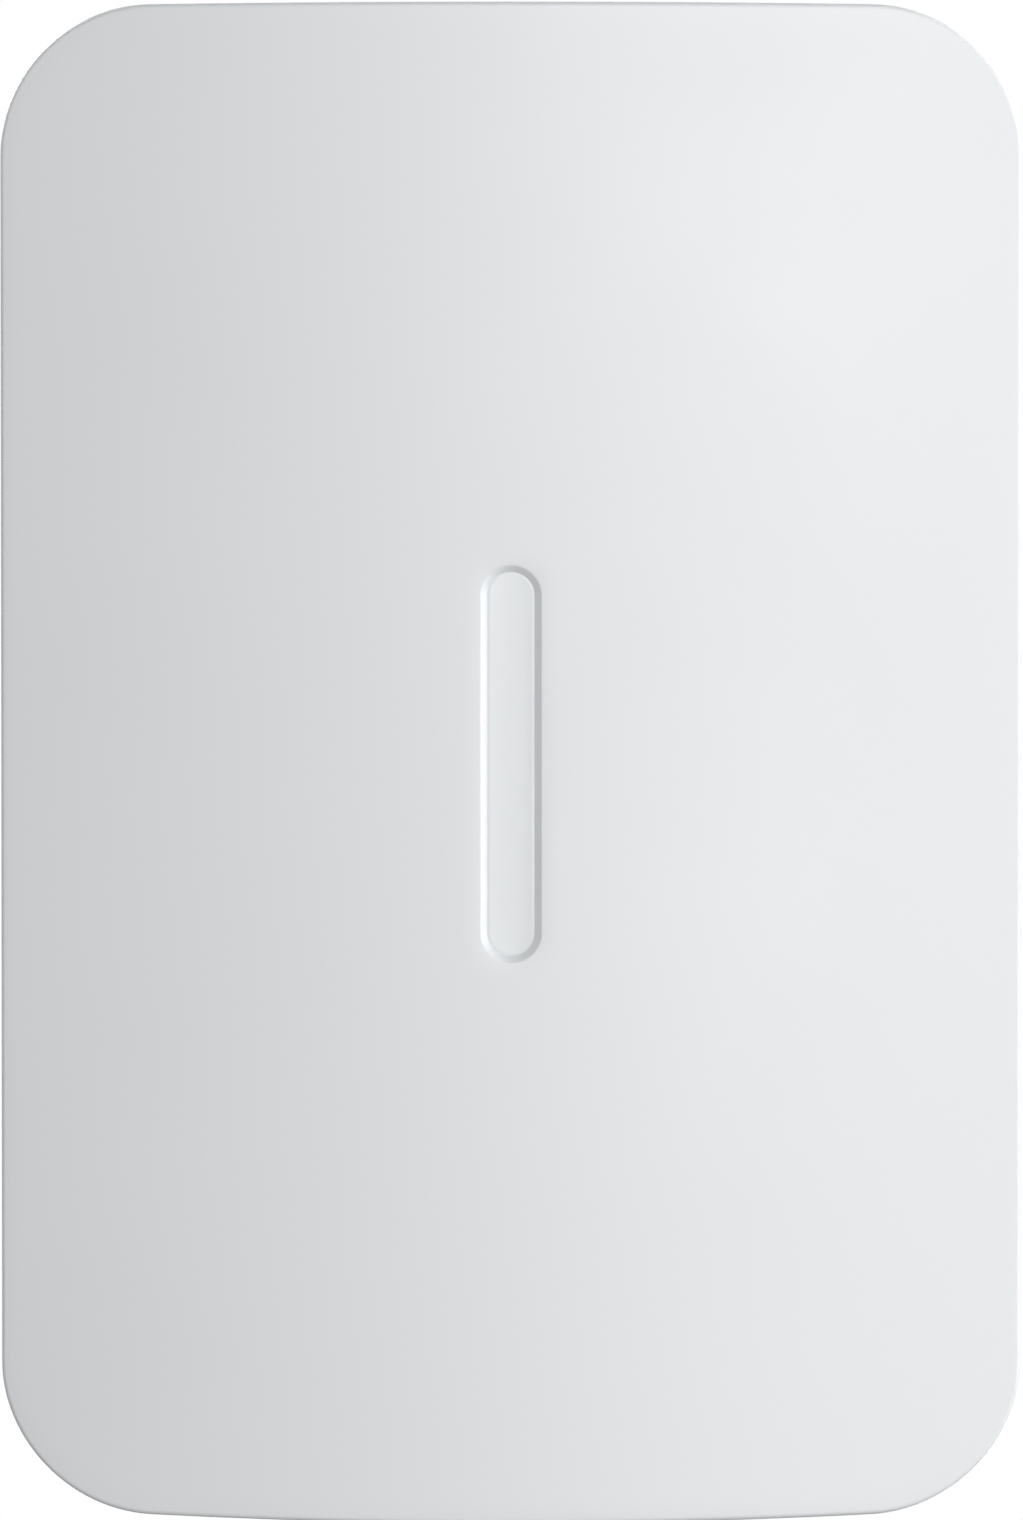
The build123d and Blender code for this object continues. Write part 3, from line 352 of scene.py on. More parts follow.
def math_node(tree, operation, first, second=0.0):
    """One sum of two numbers."""
    return add_node(tree, "ShaderNodeMath", {"operation": operation}, i0=first, i1=second).outputs[0]


def ramp(tree, value, low, high, start=0.0, end=1.0):
    """A value carried from one range to another, and kept inside it."""
    node = add_node(tree, "ShaderNodeMapRange", None, Value=value)
    for label, number in zip(("From Min", "From Max", "To Min", "To Max"), (low, high, start, end)):
        if isinstance(number, bpy.types.NodeSocket):
            tree.links.new(number, node.inputs[label])
        else:
            node.inputs[label].default_value = number
    return node.outputs[0]


def noise(tree, scale, detail=2.0, stretch=None):
    """Noise over the object's own coordinates, which may be stretched along an axis."""
    place = add_node(tree, "ShaderNodeTexCoord").outputs["Object"]
    if stretch:
        place = add_node(tree, "ShaderNodeMapping", None, Vector=place, Scale=stretch).outputs[0]
    made = add_node(tree, "ShaderNodeTexNoise", None, Vector=place, Scale=scale, Detail=detail)
    return made.outputs["Fac"]


def make_grain_group():
    """Moulded or sprayed skin: fine grain as height, and slow clouds as a shade."""
    tree, given, result = group_tree(
        "Skin grain",
        [("Grain scale", "NodeSocketFloat", 900.0), ("Cloud scale", "NodeSocketFloat", 6.0)],
        [("Height", "NodeSocketFloat"), ("Cloud", "NodeSocketFloat")],
    )
    fine = noise(tree, given.outputs["Grain scale"], 3.0)
    coarse = noise(tree, given.outputs["Cloud scale"], 4.0)
    tree.links.new(fine, result.inputs["Height"])
    tree.links.new(coarse, result.inputs["Cloud"])
    return tree


def make_dust_group():
    """Dust: a mask that lies on faces looking up and breaks up into patches."""
    tree, given, result = group_tree(
        "Settled dust",
        [("Amount", "NodeSocketFloat", 0.5), ("Patch scale", "NodeSocketFloat", 25.0)],
        [("Mask", "NodeSocketFloat")],
    )
    facing = add_node(tree, "ShaderNodeNewGeometry").outputs["Normal"]
    up = add_node(tree, "ShaderNodeSeparateXYZ", None, Vector=facing).outputs["Z"]
    lying = ramp(tree, up, 0.25, 1.0)
    patches = ramp(tree, noise(tree, given.outputs["Patch scale"], 5.0), 0.35, 0.75, 0.35, 1.0)
    settled = math_node(tree, "MULTIPLY", lying, patches)
    mask = math_node(tree, "MULTIPLY", settled, given.outputs["Amount"])
    tree.links.new(mask, result.inputs["Mask"])
    return tree


def make_scuff_group():
    """Rubs and fine scratches: long thin noise cut off at a level, the same in any direction."""
    tree, given, result = group_tree(
        "Scuffs",
        [("Scale", "NodeSocketFloat", 40.0), ("Amount", "NodeSocketFloat", 0.3)],
        [("Mask", "NodeSocketFloat")],
    )
    along = noise(tree, given.outputs["Scale"], 2.0, (1.0, 1.0, 14.0))
    across = noise(tree, given.outputs["Scale"], 2.0, (14.0, 1.0, 1.0))
    both = math_node(tree, "MAXIMUM", along, across)
    marks = ramp(tree, both, 0.62, 0.74)
    mask = math_node(tree, "MULTIPLY", marks, given.outputs["Amount"])
    tree.links.new(mask, result.inputs["Mask"])
    return tree


def make_spangle_group():
    """Zinc spangle: each crystal of a cell pattern has its own shade, with a faint line between."""
    tree, given, result = group_tree(
        "Zinc spangle",
        [("Scale", "NodeSocketFloat", 160.0)],
        [("Shade", "NodeSocketFloat"), ("Height", "NodeSocketFloat")],
    )
    place = add_node(tree, "ShaderNodeTexCoord").outputs["Object"]
    size = given.outputs["Scale"]
    cells = add_node(tree, "ShaderNodeTexVoronoi", None, Vector=place, Scale=size)
    shade = add_node(tree, "ShaderNodeSeparateColor", None, Color=cells.outputs["Color"]).outputs[0]
    edges = add_node(
        tree, "ShaderNodeTexVoronoi", {"feature": "DISTANCE_TO_EDGE"}, Vector=place, Scale=size
    )
    tree.links.new(shade, result.inputs["Shade"])
    tree.links.new(ramp(tree, edges.outputs["Distance"], 0.0, 0.08), result.inputs["Height"])
    return tree


def make_brushed_group():
    """Drawn or rolled metal: noise stretched into lines along one axis."""
    tree, given, result = group_tree(
        "Drawn lines",
        [("Scale", "NodeSocketFloat", 60.0), ("Stretch", "NodeSocketVector", (20.0, 20.0, 0.6))],
        [("Lines", "NodeSocketFloat")],
    )
    place = add_node(tree, "ShaderNodeTexCoord").outputs["Object"]
    stretch = given.outputs["Stretch"]
    drawn = add_node(tree, "ShaderNodeMapping", None, Vector=place, Scale=stretch).outputs[0]
    lines = add_node(
        tree, "ShaderNodeTexNoise", None, Vector=drawn, Scale=given.outputs["Scale"], Detail=4.0
    ).outputs["Fac"]
    tree.links.new(lines, result.inputs["Lines"])
    return tree


groups = {}


def use_group(tree, name, **values):
    """One of the shared groups placed in a material with its own values."""
    makers = {
        "grain": make_grain_group,
        "dust": make_dust_group,
        "scuffs": make_scuff_group,
        "spangle": make_spangle_group,
        "brushed": make_brushed_group,
    }
    if name not in groups:
        groups[name] = makers[name]()
    node = tree.nodes.new("ShaderNodeGroup")
    node.node_tree = groups[name]
    for label, value in values.items():
        node.inputs[label.replace("_", " ")].default_value = value
    return node


# ---- materials ----
def blank(name, **constants):
    """A material with its shader, whose constants are set on the shader's own sockets."""
    material = bpy.data.materials.new(name)
    material.use_nodes = True
    tree = material.node_tree
    shader = tree.nodes["Principled BSDF"]
    for label, value in constants.items():
        shader.inputs[label.replace("_", " ")].default_value = value
    return material, tree, shader


def mixed(tree, factor, first, second):
    """Two colours mixed by a mask."""
    node = add_node(tree, "ShaderNodeMix", {"data_type": "RGBA"}, Factor=factor)
    for place, value in ((6, first), (7, second)):
        if isinstance(value, bpy.types.NodeSocket):
            tree.links.new(value, node.inputs[place])
        else:
            node.inputs[place].default_value = (*value, 1.0)
    return node.outputs[2]


def bumped(tree, shader, height, distance, strength=1.0):
    """Height turned into a bump on the shader."""
    bump = add_node(tree, "ShaderNodeBump", None, Height=height, Distance=distance, Strength=strength)
    tree.links.new(bump.outputs[0], shader.inputs["Normal"])


def shaded(value, share):
    """A colour made lighter or darker by a share."""
    return tuple(min(1.0, part * share) for part in value)


def skin(name, base, rough=(0.42, 0.5), grain=900.0, cloud=6.0, spread=0.04, bump=0.00004, dust=0.0,
         scuffs=0.0, **constants):
    """Painted, sprayed or moulded finish: slow clouds in the colour and gloss, fine grain, and dust
    and rubs where wanted."""
    material, tree, shader = blank(name, **constants)
    grains = use_group(tree, "grain", Grain_scale=grain, Cloud_scale=cloud)
    clouds = ramp(tree, grains.outputs["Cloud"], 0.3, 0.7)
    tint = mixed(tree, clouds, shaded(base, 1 - spread), shaded(base, 1 + spread))
    gloss = ramp(tree, grains.outputs["Cloud"], 0.3, 0.7, *rough)
    if dust:
        lying = use_group(tree, "dust", Amount=dust).outputs["Mask"]
        tint = mixed(tree, lying, tint, (0.5, 0.48, 0.45))
        gloss = math_node(tree, "ADD", gloss, math_node(tree, "MULTIPLY", lying, 0.3))
    if scuffs:
        rubbed = use_group(tree, "scuffs", Amount=scuffs).outputs["Mask"]
        tint = mixed(tree, rubbed, tint, shaded(base, 1.35))
        gloss = math_node(tree, "SUBTRACT", gloss, math_node(tree, "MULTIPLY", rubbed, 0.15))
    tree.links.new(tint, shader.inputs["Base Color"])
    tree.links.new(gloss, shader.inputs["Roughness"])
    bumped(tree, shader, grains.outputs["Height"], bump)
    return material


def zinc(name, base, scale=160.0):
    """Zinc-plated or galvanised steel: crystals of different shade and gloss."""
    material, tree, shader = blank(name, Metallic=1.0)
    spangle = use_group(tree, "spangle", Scale=scale)
    grains = use_group(tree, "grain", Grain_scale=700.0, Cloud_scale=30.0)
    tint = mixed(tree, spangle.outputs["Shade"], shaded(base, 0.82), shaded(base, 1.12))
    tarnish = ramp(tree, grains.outputs["Cloud"], 0.45, 0.75, 0.0, 0.5)
    tree.links.new(mixed(tree, tarnish, tint, shaded(base, 0.7)), shader.inputs["Base Color"])
    tree.links.new(ramp(tree, spangle.outputs["Shade"], 0, 1, 0.3, 0.46), shader.inputs["Roughness"])
    bumped(tree, shader, spangle.outputs["Height"], 0.00003)
    return material


def drawn_metal(name, base, stretch, rough=(0.28, 0.45), scale=60.0):
    """Extruded, drawn or rolled metal with lines along one axis."""
    material, tree, shader = blank(name, Metallic=1.0)
    lines = use_group(tree, "brushed", Scale=scale, Stretch=stretch).outputs["Lines"]
    grains = use_group(tree, "grain", Grain_scale=1200.0, Cloud_scale=18.0)
    tint = mixed(tree, ramp(tree, lines, 0.3, 0.7), shaded(base, 0.86), shaded(base, 1.08))
    dull = ramp(tree, grains.outputs["Cloud"], 0.5, 0.8, 0.0, 0.4)
    tree.links.new(mixed(tree, dull, tint, shaded(base, 0.75)), shader.inputs["Base Color"])
    tree.links.new(ramp(tree, lines, 0.3, 0.7, *rough), shader.inputs["Roughness"])
    bumped(tree, shader, lines, 0.00002)
    return material


def circuit_board(name, base):
    """Solder mask over tracks: square-cornered cells raise faint tracks, with tinned pads."""
    material, tree, shader = blank(name, Coat_Weight=0.3, Coat_Roughness=0.2)
    place = add_node(tree, "ShaderNodeTexCoord").outputs["Object"]
    tracks = add_node(
        tree,
        "ShaderNodeTexVoronoi",
        {"feature": "F1", "distance": "CHEBYCHEV"},
        Vector=place,
        Scale=220.0,
    )
    line = ramp(tree, tracks.outputs["Distance"], 0.42, 0.5)
    pads = add_node(tree, "ShaderNodeTexVoronoi", {"feature": "F1"}, Vector=place, Scale=150.0)
    pad = ramp(tree, pads.outputs["Distance"], 0.16, 0.2, 1.0, 0.0)
    tint = mixed(tree, line, base, shaded(base, 1.7))
    tree.links.new(mixed(tree, pad, tint, (0.6, 0.58, 0.5)), shader.inputs["Base Color"])
    tree.links.new(ramp(tree, pad, 0, 1, 0.38, 0.25), shader.inputs["Roughness"])
    bumped(tree, shader, line, 0.00003)
    return material


def cell_wrap(name, base):
    """Heat-shrunk film over a cell: slow ripples, cloudy tone and a clear-coat sheen."""
    material, tree, shader = blank(name, Coat_Weight=0.5, Coat_Roughness=0.18)
    ripples = noise(tree, 45.0, 3.0, (1.0, 1.0, 2.5))
    grains = use_group(tree, "grain", Grain_scale=1500.0, Cloud_scale=12.0)
    clouds = ramp(tree, grains.outputs["Cloud"], 0.3, 0.7)
    tint = mixed(tree, clouds, shaded(base, 0.85), shaded(base, 1.15))
    tree.links.new(tint, shader.inputs["Base Color"])
    tree.links.new(ramp(tree, ripples, 0.3, 0.7, 0.28, 0.42), shader.inputs["Roughness"])
    bumped(tree, shader, ripples, 0.0004)
    return material


def make_materials(colours):
    """One finish for each material slot."""
    cover, window = tuple(colours.cover), tuple(colours.window)
    enclosure, bracket = tuple(colours.enclosure), tuple(colours.bracket)
    dark, grey = (0.03, 0.031, 0.034), (0.19, 0.2, 0.21)
    return {
        "cover_white": skin(
            "Cover white", cover, (0.4, 0.46), 1100.0, 4.0, 0.006, 0.000015, Specular_IOR_Level=0.5
        ),
        # Painted light: this opal is a little lighter than the cover's white to offset the shade in the
        # recess.
        "window_opal": skin(
            "Window opal", window, (0.3, 0.36), 1600.0, 9.0, 0.006, 0.00001,
            Subsurface_Weight=0.15, Subsurface_Scale=0.004,
        ),
        "enclosure_paint": skin(
            "Enclosure powder coat", enclosure, (0.46, 0.56), 520.0, 5.0, 0.03, 0.00012, 0.35, 0.12
        ),
        "zinc_steel": zinc("Zinc plate", (0.62, 0.63, 0.64), 260.0),
        "bracket_steel": skin(
            "Bracket powder coat", bracket, (0.42, 0.52), 560.0, 8.0, 0.08, 0.00014, 0.3, 0.3
        ),
        "aluminium": drawn_metal("Mill aluminium", (0.72, 0.73, 0.74), (20.0, 20.0, 0.6)),
        "heat_sink": drawn_metal(
            "Extruded aluminium", (0.55, 0.565, 0.58), (26.0, 26.0, 0.5), (0.36, 0.5)
        ),
        "rubber": skin(
            "Moulded rubber", (0.02, 0.02, 0.022), (0.62, 0.78), 1400.0, 40.0, 0.2, 0.00005, 0.25
        ),
        "dark_plastic": skin(
            "Dark moulding", dark, (0.42, 0.55), 1300.0, 20.0, 0.12, 0.00006, 0.3, 0.2
        ),
        "grey_plastic": skin(
            "Grey moulding", grey, (0.42, 0.52), 1200.0, 16.0, 0.06, 0.00005, 0.3, 0.15
        ),
        "cell_wrap": cell_wrap("Cell film", (0.02, 0.09, 0.28)),
        "copper": drawn_metal("Tinned copper", (0.83, 0.47, 0.3), (0.8, 24.0, 24.0), (0.24, 0.4)),
        "board_green": circuit_board("Green solder mask", (0.01, 0.11, 0.05)),
        "board_white": circuit_board("White solder mask", (0.62, 0.64, 0.62)),
        "ceramic": skin(
            "Glazed ceramic", (0.7, 0.68, 0.63), (0.18, 0.3), 900.0, 30.0, 0.04, 0.00003
        ),
        "toggle_red": skin(
            "Toggle moulding", tuple(colours.toggle), (0.34, 0.44), 1300.0, 30.0, 0.08, 0.00004
        ),
        "cable_jacket": skin(
            "Cable jacket", (0.035, 0.035, 0.037), (0.5, 0.62), 1500.0, 40.0, 0.15, 0.00006
        ),
    }


def finish(slot):
    """The material of a slot, made when first asked for."""
    if not finishes:
        finishes.update(make_materials(bpy.context.scene.battery_finishes))
    return finishes[slot]


finishes = {}


# ---- cover and light bar ----
def crown_depth(x, front, radius):
    """Distance from the wall of the crowned face: a cylinder with an upright axis."""
    return front - (radius - np.sqrt(radius**2 - x**2))


def cover_skin(sizes, inset, edge, round_steps):
    """One skin of the cover from its rim to its face, as rows round the outline.
    The sides lean in towards the wall by the draft; the face is a cylinder; between them rolls an
    arc that touches both, in the plane square to the outline."""
    flare = math.tan(sizes.draft)
    front = COVER_FRONT - inset
    crown_radius = ((COVER_WIDTH / 2) ** 2 + sizes.crown**2) / (2 * sizes.crown) - inset
    width = COVER_WIDTH + 2 * (sizes.crown + sizes.edge) * flare - 2 * inset
    height = COVER_HEIGHT + 2 * sizes.edge * flare - 2 * inset
    base, normal = outline(width, height, sizes.corner - inset, COVER_COUNTS)

    def at(drawn_in, depth):
        place = base - drawn_in[:, None] * normal
        return np.stack([place[:, 0], -depth, place[:, 1] + COVER_MIDDLE], 1)

    drawn = np.zeros(len(base))
    for _ in range(6):
        x = base[:, 0] - drawn * normal[:, 0]
        corner_depth = crown_depth(x, front, crown_radius)
        drawn = (COVER_FRONT - corner_depth) * flare
    slope = -x / np.sqrt(crown_radius**2 - x**2) * normal[:, 0]
    inward = -np.stack([np.ones_like(slope), slope], 1) / np.sqrt(1 + slope**2)[:, None]
    down = np.array([-flare, -1.0]) / math.hypot(flare, 1)
    between = np.arccos(inward @ down)
    run = edge / np.tan(between / 2)
    bisector = inward + down
    bisector /= np.linalg.norm(bisector, axis=1, keepdims=True)
    corner = np.stack([-drawn, corner_depth], 1)
    centre = corner + bisector * (edge / np.sin(between / 2))[:, None]
    start = corner + down * run[:, None] - centre
    end = corner + inward * run[:, None] - centre
    sweep = math.pi - between
    rows = []
    side_end = corner + down * run[:, None]
    rim_in = (COVER_FRONT - COVER_BACK) * flare
    for share in np.linspace(0, 1, 5)[:-1]:
        depth = COVER_BACK + (side_end[:, 1] - COVER_BACK) * share
        rows.append(at(rim_in + (-side_end[:, 0] - rim_in) * share, depth))
    for share in np.linspace(0, 1, round_steps + 1):
        first = np.sin((1 - share) * sweep) / np.sin(sweep)
        second = np.sin(share * sweep) / np.sin(sweep)
        spot = centre + start * first[:, None] + end * second[:, None]
        rows.append(at(-spot[:, 0], spot[:, 1]))
    return rows, front, crown_radius


COVER_COUNTS = (36, 28, 24)
BAR_COUNTS = (36, 52, 0)


def bar_ring(width, length, depth):
    """Row of points round a stadium; depth is one number or follows a function of x."""
    ring, _ = outline(width, length, width / 2, BAR_COUNTS)
    level = depth(ring[:, 0]) if callable(depth) else np.full(len(ring), depth)
    return np.stack([ring[:, 0], -level, ring[:, 1] + COVER_MIDDLE], 1)


def between_rings(first, last, front, crown_radius, steps):
    """Rows on the crowned face between two closed rings: straight mixes of the two in plan, set on
    the cylinder."""
    rows = []
    for share in np.linspace(0, 1, steps + 1)[1:-1]:
        row = first + (last - first) * share
        row[:, 1] = -crown_depth(row[:, 0], front, crown_radius)
        rows.append(row)
    return rows


def make_cover(sizes):
    """Moulded shell: outer skin, face, softened recess round the light bar, collar behind it and
    inner skin, closed at the rim; with six bosses for the studs."""
    outer, front, radius = cover_skin(sizes, 0.0, sizes.edge, 10)
    inner, inner_front, inner_radius = cover_skin(sizes, sizes.wall, INNER_EDGE, 4)
    wide, long, soft = sizes.bar_width, sizes.bar_length, sizes.soft
    turn = np.linspace(0, math.pi / 4, 5)
    blend = soft * math.tan(math.pi / 8)
    recess = []
    for angle in turn:
        out = blend - soft * np.sin(angle)
        sink = soft * (1 - np.cos(angle))
        recess.append((out, lambda x, sink=sink: crown_depth(x, front, radius) - sink))
    rings = [bar_ring(wide + 2 * out, long + 2 * out, level) for out, level in recess]
    floor = COVER_FRONT - sizes.bevel
    for angle in turn[::-1]:
        rise = soft * 0.5 * (1 - np.cos(angle))
        reach = -sizes.bevel + soft * 0.5 * np.sin(angle) - soft * 0.5 * math.tan(math.pi / 8)
        rings.append(bar_ring(wide + 2 * reach, long + 2 * reach, floor + rise))
    window_back = COVER_FRONT - sizes.bevel - WINDOW_WALL
    collar = 2 * sizes.wall
    opening_wide, opening_long = wide - 2 * sizes.bevel, long - 2 * sizes.bevel
    rings.append(bar_ring(opening_wide, opening_long, floor))
    rings.append(bar_ring(opening_wide, opening_long, window_back))
    rings.append(bar_ring(wide + collar, long + collar, window_back))
    behind = bar_ring(wide + collar, long + collar, lambda x: crown_depth(x, inner_front, inner_radius))
    face = between_rings(outer[-1], rings[0], front, radius, 34)
    back = between_rings(behind, inner[-1], inner_front, inner_radius, 26)
    rows = outer + face + rings + [behind] + back + inner[::-1]
    parts = [grid_part(bowed(np.array(rows), sizes), close_rows=True)]
    for middle in stud_places():
        parts.append(boss(middle, inner_front, inner_radius))
    return parts


def bowed(points, sizes):
    """The cover's ends bowed: height shrinks by a share that grows with the square of the distance
    from the middle line, and fades to nothing halfway up the cover."""
    height = points[..., 2] - COVER_MIDDLE
    reach = np.clip((np.abs(height) * 2 / COVER_HEIGHT - 0.5) * 2, 0, 1)
    fade = reach**2 * (3 - 2 * reach)
    bow = np.where(height > 0, sizes.bow_top, sizes.bow_foot)
    drop = bow * (points[..., 0] * 2 / COVER_WIDTH) ** 2 * fade
    points[..., 2] -= np.sign(height) * drop
    return points


def stud_places():
    """Middles of the six studs, from the corners and middle of the studs' own box."""
    low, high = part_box("cover_studs")
    across = (high.x - low.x) / 2 - STUD_RADIUS
    up = (high.z - low.z) / 2 - STUD_RADIUS
    return [(x * across, -high.y, COVER_MIDDLE + z * up) for x in (-1, 1) for z in (-1, 0, 1)]


def boss(stud, inner_front, inner_radius):
    """Round socket behind the cover with a chamfered mouth and a bore for a stud: a profile of
    radius and distance from the wall, carried round the stud's axis."""
    x, tip, z = stud
    outer, bore, count = 0.009, STUD_RADIUS, 36
    outer_chamfer, bore_chamfer, overlap = 0.0008, 0.0006, 0.0005
    mouth = tip + 0.013
    deep = mouth + 0.011
    top = float(crown_depth(np.array(abs(x) + outer), inner_front, inner_radius)) + overlap
    profile = [
        (bore, deep),
        (bore, mouth + bore_chamfer),
        (bore + bore_chamfer, mouth),
        (outer - outer_chamfer, mouth),
        (outer, mouth + outer_chamfer),
        (outer, top),
    ]
    return grid_part(lathe(profile, (x, 0, z), (0, -1, 0), count), caps=True)


def make_window(sizes):
    """Opal bar: a flange behind the cover and a raised bar in its opening with a softened edge."""
    low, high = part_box("light_window")
    wide, long = sizes.bar_width - 2 * sizes.bevel, sizes.bar_length - 2 * sizes.bevel
    flange_wide, flange_long = high.x - low.x, high.z - low.z
    front = -low.y
    back = -high.y
    land = COVER_FRONT - sizes.bevel - WINDOW_WALL
    soft, slack = 0.0005, 0.00004
    rows = [bar_ring(flange_wide - 2 * soft, flange_long - 2 * soft, back)]
    rows.append(bar_ring(flange_wide, flange_long, back + soft))
    rows.append(bar_ring(flange_wide, flange_long, land))
    rows.append(bar_ring(wide - slack, long - slack, land))
    for angle in np.linspace(0, math.pi / 2, 5):
        drawn_in = slack + 2 * soft * (1 - np.cos(angle))
        rows.append(bar_ring(wide - drawn_in, long - drawn_in, front - soft * (1 - np.sin(angle))))
    for share in np.linspace(0, 0.96, 9)[1:]:
        narrow = (wide - 2 * soft) * (1 - share)
        rows.append(bar_ring(narrow, long - 2 * soft - (wide - 2 * soft) * share, front))
    points = np.array(rows)
    flat, faces = grid_part(points)
    count = points.shape[1]
    last = (len(rows) - 1) * count
    faces.append(list(range(count))[::-1])
    faces.append([last + place for place in range(count)])
    return [(flat, faces)]


# ---- handles ----
def handle_shape(side, sizes):
    """Bent bar of one handle with an eye at each end, from its own node's box. The bar is a tube
    along two legs and a foot joined by quarter bends; the eyes are rings round the pins."""
    low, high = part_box(f"{side}_handle")
    eye = (high.x - low.x) / 2
    x = (low.x + high.x) / 2
    pivot = high.z - eye
    near, far = low.y + EYE_LENGTH / 2, high.y - EYE_LENGTH / 2
    foot = low.z + sizes.rod
    weld = 0.002
    top = pivot - eye + weld
    corners = [(x, near, top), (x, near, foot), (x, far, foot), (x, far, top)]
    bar = tube_along(rounded_path(corners, sizes.bend), sizes.rod, 24)
    parts = [grid_part(bar, caps=True)]
    half, bore, chamfer = EYE_LENGTH / 2, PIN_BORE, 0.0008
    profile = [
        (bore, -half + chamfer),
        (bore + chamfer, -half),
        (eye - chamfer, -half),
        (eye, -half + chamfer),
        (eye, half - chamfer),
        (eye - chamfer, half),
        (bore + chamfer, half),
        (bore, half - chamfer),
    ]
    for y in (near, far):
        parts.append(grid_part(lathe(profile, (x, y, pivot), (0, 1, 0), 40), close_rows=True))
    return parts


def grip_shape(side, sizes):
    """Moulded grip: a sleeve round the bar whose radius dips in rounded rings, with rolled ends."""
    low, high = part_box(f"{side}_grip")
    radius = (high.z - low.z) / 2
    x, z = (low.x + high.x) / 2, (low.z + high.z) / 2
    length = high.y - low.y
    steps = sizes.ribs * 12
    along = np.linspace(0, 1, steps + 1)
    dip = sizes.rib_depth * (0.5 - 0.5 * np.cos(2 * math.pi * sizes.ribs * along)) ** 0.6
    roll = 0.0022
    ends = np.minimum(along, 1 - along) * length
    rolled = np.where(ends < roll, roll - np.sqrt(np.maximum(roll**2 - (roll - ends) ** 2, 0)), 0)
    outside = np.stack([radius - dip - rolled, (along - 0.5) * length], 1)
    bore = sizes.rod + 0.00005
    inside = np.array([(bore, 0.5 * length), (bore, -0.5 * length)])
    middle = (x, (low.y + high.y) / 2, z)
    return [grid_part(lathe(np.concatenate([outside, inside]), middle, (0, 1, 0), 36), close_rows=True)]


# ---- carried-over parts ----
MERGE_REACH = 2e-6
FLAT_ANGLE = math.radians(0.4)
BEVEL_ANGLE = math.radians(40)


def soften(node, width, slot):
    """Copy of a CAD part with its loose triangles joined, flat faces made whole and its edges
    rounded a little, so that they catch the light. It stands for that part."""
    source = frame["nodes"][node]
    mesh = source.data.copy()
    shape = bmesh.new()
    shape.from_mesh(mesh)
    bmesh.ops.remove_doubles(shape, verts=shape.verts, dist=MERGE_REACH)
    bmesh.ops.dissolve_limit(
        shape, angle_limit=FLAT_ANGLE, verts=shape.verts, edges=shape.edges, delimit={"NORMAL"}
    )
    shape.to_mesh(mesh)
    shape.free()
    made = bpy.data.objects.new(f"{node}_edged", mesh)
    bpy.context.scene.collection.objects.link(made)
    mesh.materials.clear()
    mesh.materials.append(finish(slot))
    mesh.shade_smooth()
    bevel = made.modifiers.new("Edge rounding", "BEVEL")
    bevel.width = width
    bevel.segments = 2
    bevel.limit_method = "ANGLE"
    bevel.angle_limit = BEVEL_ANGLE
    bevel.use_clamp_overlap = True
    level = made.modifiers.new("Flat faces stay flat", "WEIGHTED_NORMAL")
    level.weight = 100
    level.keep_sharp = True
    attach(made, source["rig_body"])
    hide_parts(node)
    return made


class BATTERY_OT_finishes(bpy.types.Operator):
    """Give every carried-over part the finish of its material slot"""

    bl_idname = "battery.finishes"
    bl_label = "Finish the carried-over parts"

    def execute(self, context):
        for row in frame["record"]["subparts"]:
            node = frame["nodes"][row["node"]]
            node.data.materials.clear()
            node.data.materials.append(finish(row["material_slot"]))
        return {"FINISHED"}


EDGE_WIDTHS = {
    "enclosure_tub": 0.0008,
    "enclosure_lid": 0.0006,
    "wiring_cover": 0.0006,
    "wall_bracket": 0.0006,
    "hang_rail": 0.0005,
    "lock_tabs": 0.0005,
    "heat_sink": 0.0003,
    "wall_bumpers": 0.0012,
    "switch_pocket": 0.0005,
    "switch_flap": 0.0005,
    "breaker_body": 0.0005,
    "breaker_toggle": 0.0006,
    "power_button": 0.0005,
    "handle_lugs": 0.0005,
    "cable_glands": 0.0004,
    "gland_nuts": 0.0004,
    "blanking_plugs": 0.0004,
}


class BATTERY_OT_edges(bpy.types.Operator):
    """Round the edges of the parts that show"""

    bl_idname = "battery.edges"
    bl_label = "Round the edges that show"

    def execute(self, context):
        for row in frame["record"]["subparts"]:
            if row["node"] in EDGE_WIDTHS:
                soften(row["node"], EDGE_WIDTHS[row["node"]], row["material_slot"])
        return {"FINISHED"}


class BATTERY_OT_cover(bpy.types.Operator):
    """Build the crowned cover with its recess and bosses"""

    bl_idname = "battery.cover"
    bl_label = "Build the cover"

    def execute(self, context):
        parts = make_cover(context.scene.battery_cover)
        white = finish("cover_white")
        piece("cover_moulding", parts, white, "front_cover", "front_cover", 30.0)
        return {"FINISHED"}


class BATTERY_OT_window(bpy.types.Operator):
    """Build the opal light bar"""

    bl_idname = "battery.window"
    bl_label = "Build the light bar"

    def execute(self, context):
        parts = make_window(context.scene.battery_cover)
        piece("light_bar", parts, finish("window_opal"), "front_cover", "light_window")
        return {"FINISHED"}


class BATTERY_OT_handles(bpy.types.Operator):
    """Build the two lifting handles and their grips"""

    bl_idname = "battery.handles"
    bl_label = "Build the handles"

    def execute(self, context):
        sizes = context.scene.battery_handle
        for side in ("right", "left"):
            body = f"{side}_handle"
            steel, plastic = "zinc_steel", "dark_plastic"
            bar = handle_shape(side, sizes)
            piece(f"{side}_bail", bar, finish(steel), body, f"{side}_handle")
            sleeve = grip_shape(side, sizes)
            piece(f"{side}_sleeve", sleeve, finish(plastic), body, f"{side}_grip")
        return {"FINISHED"}


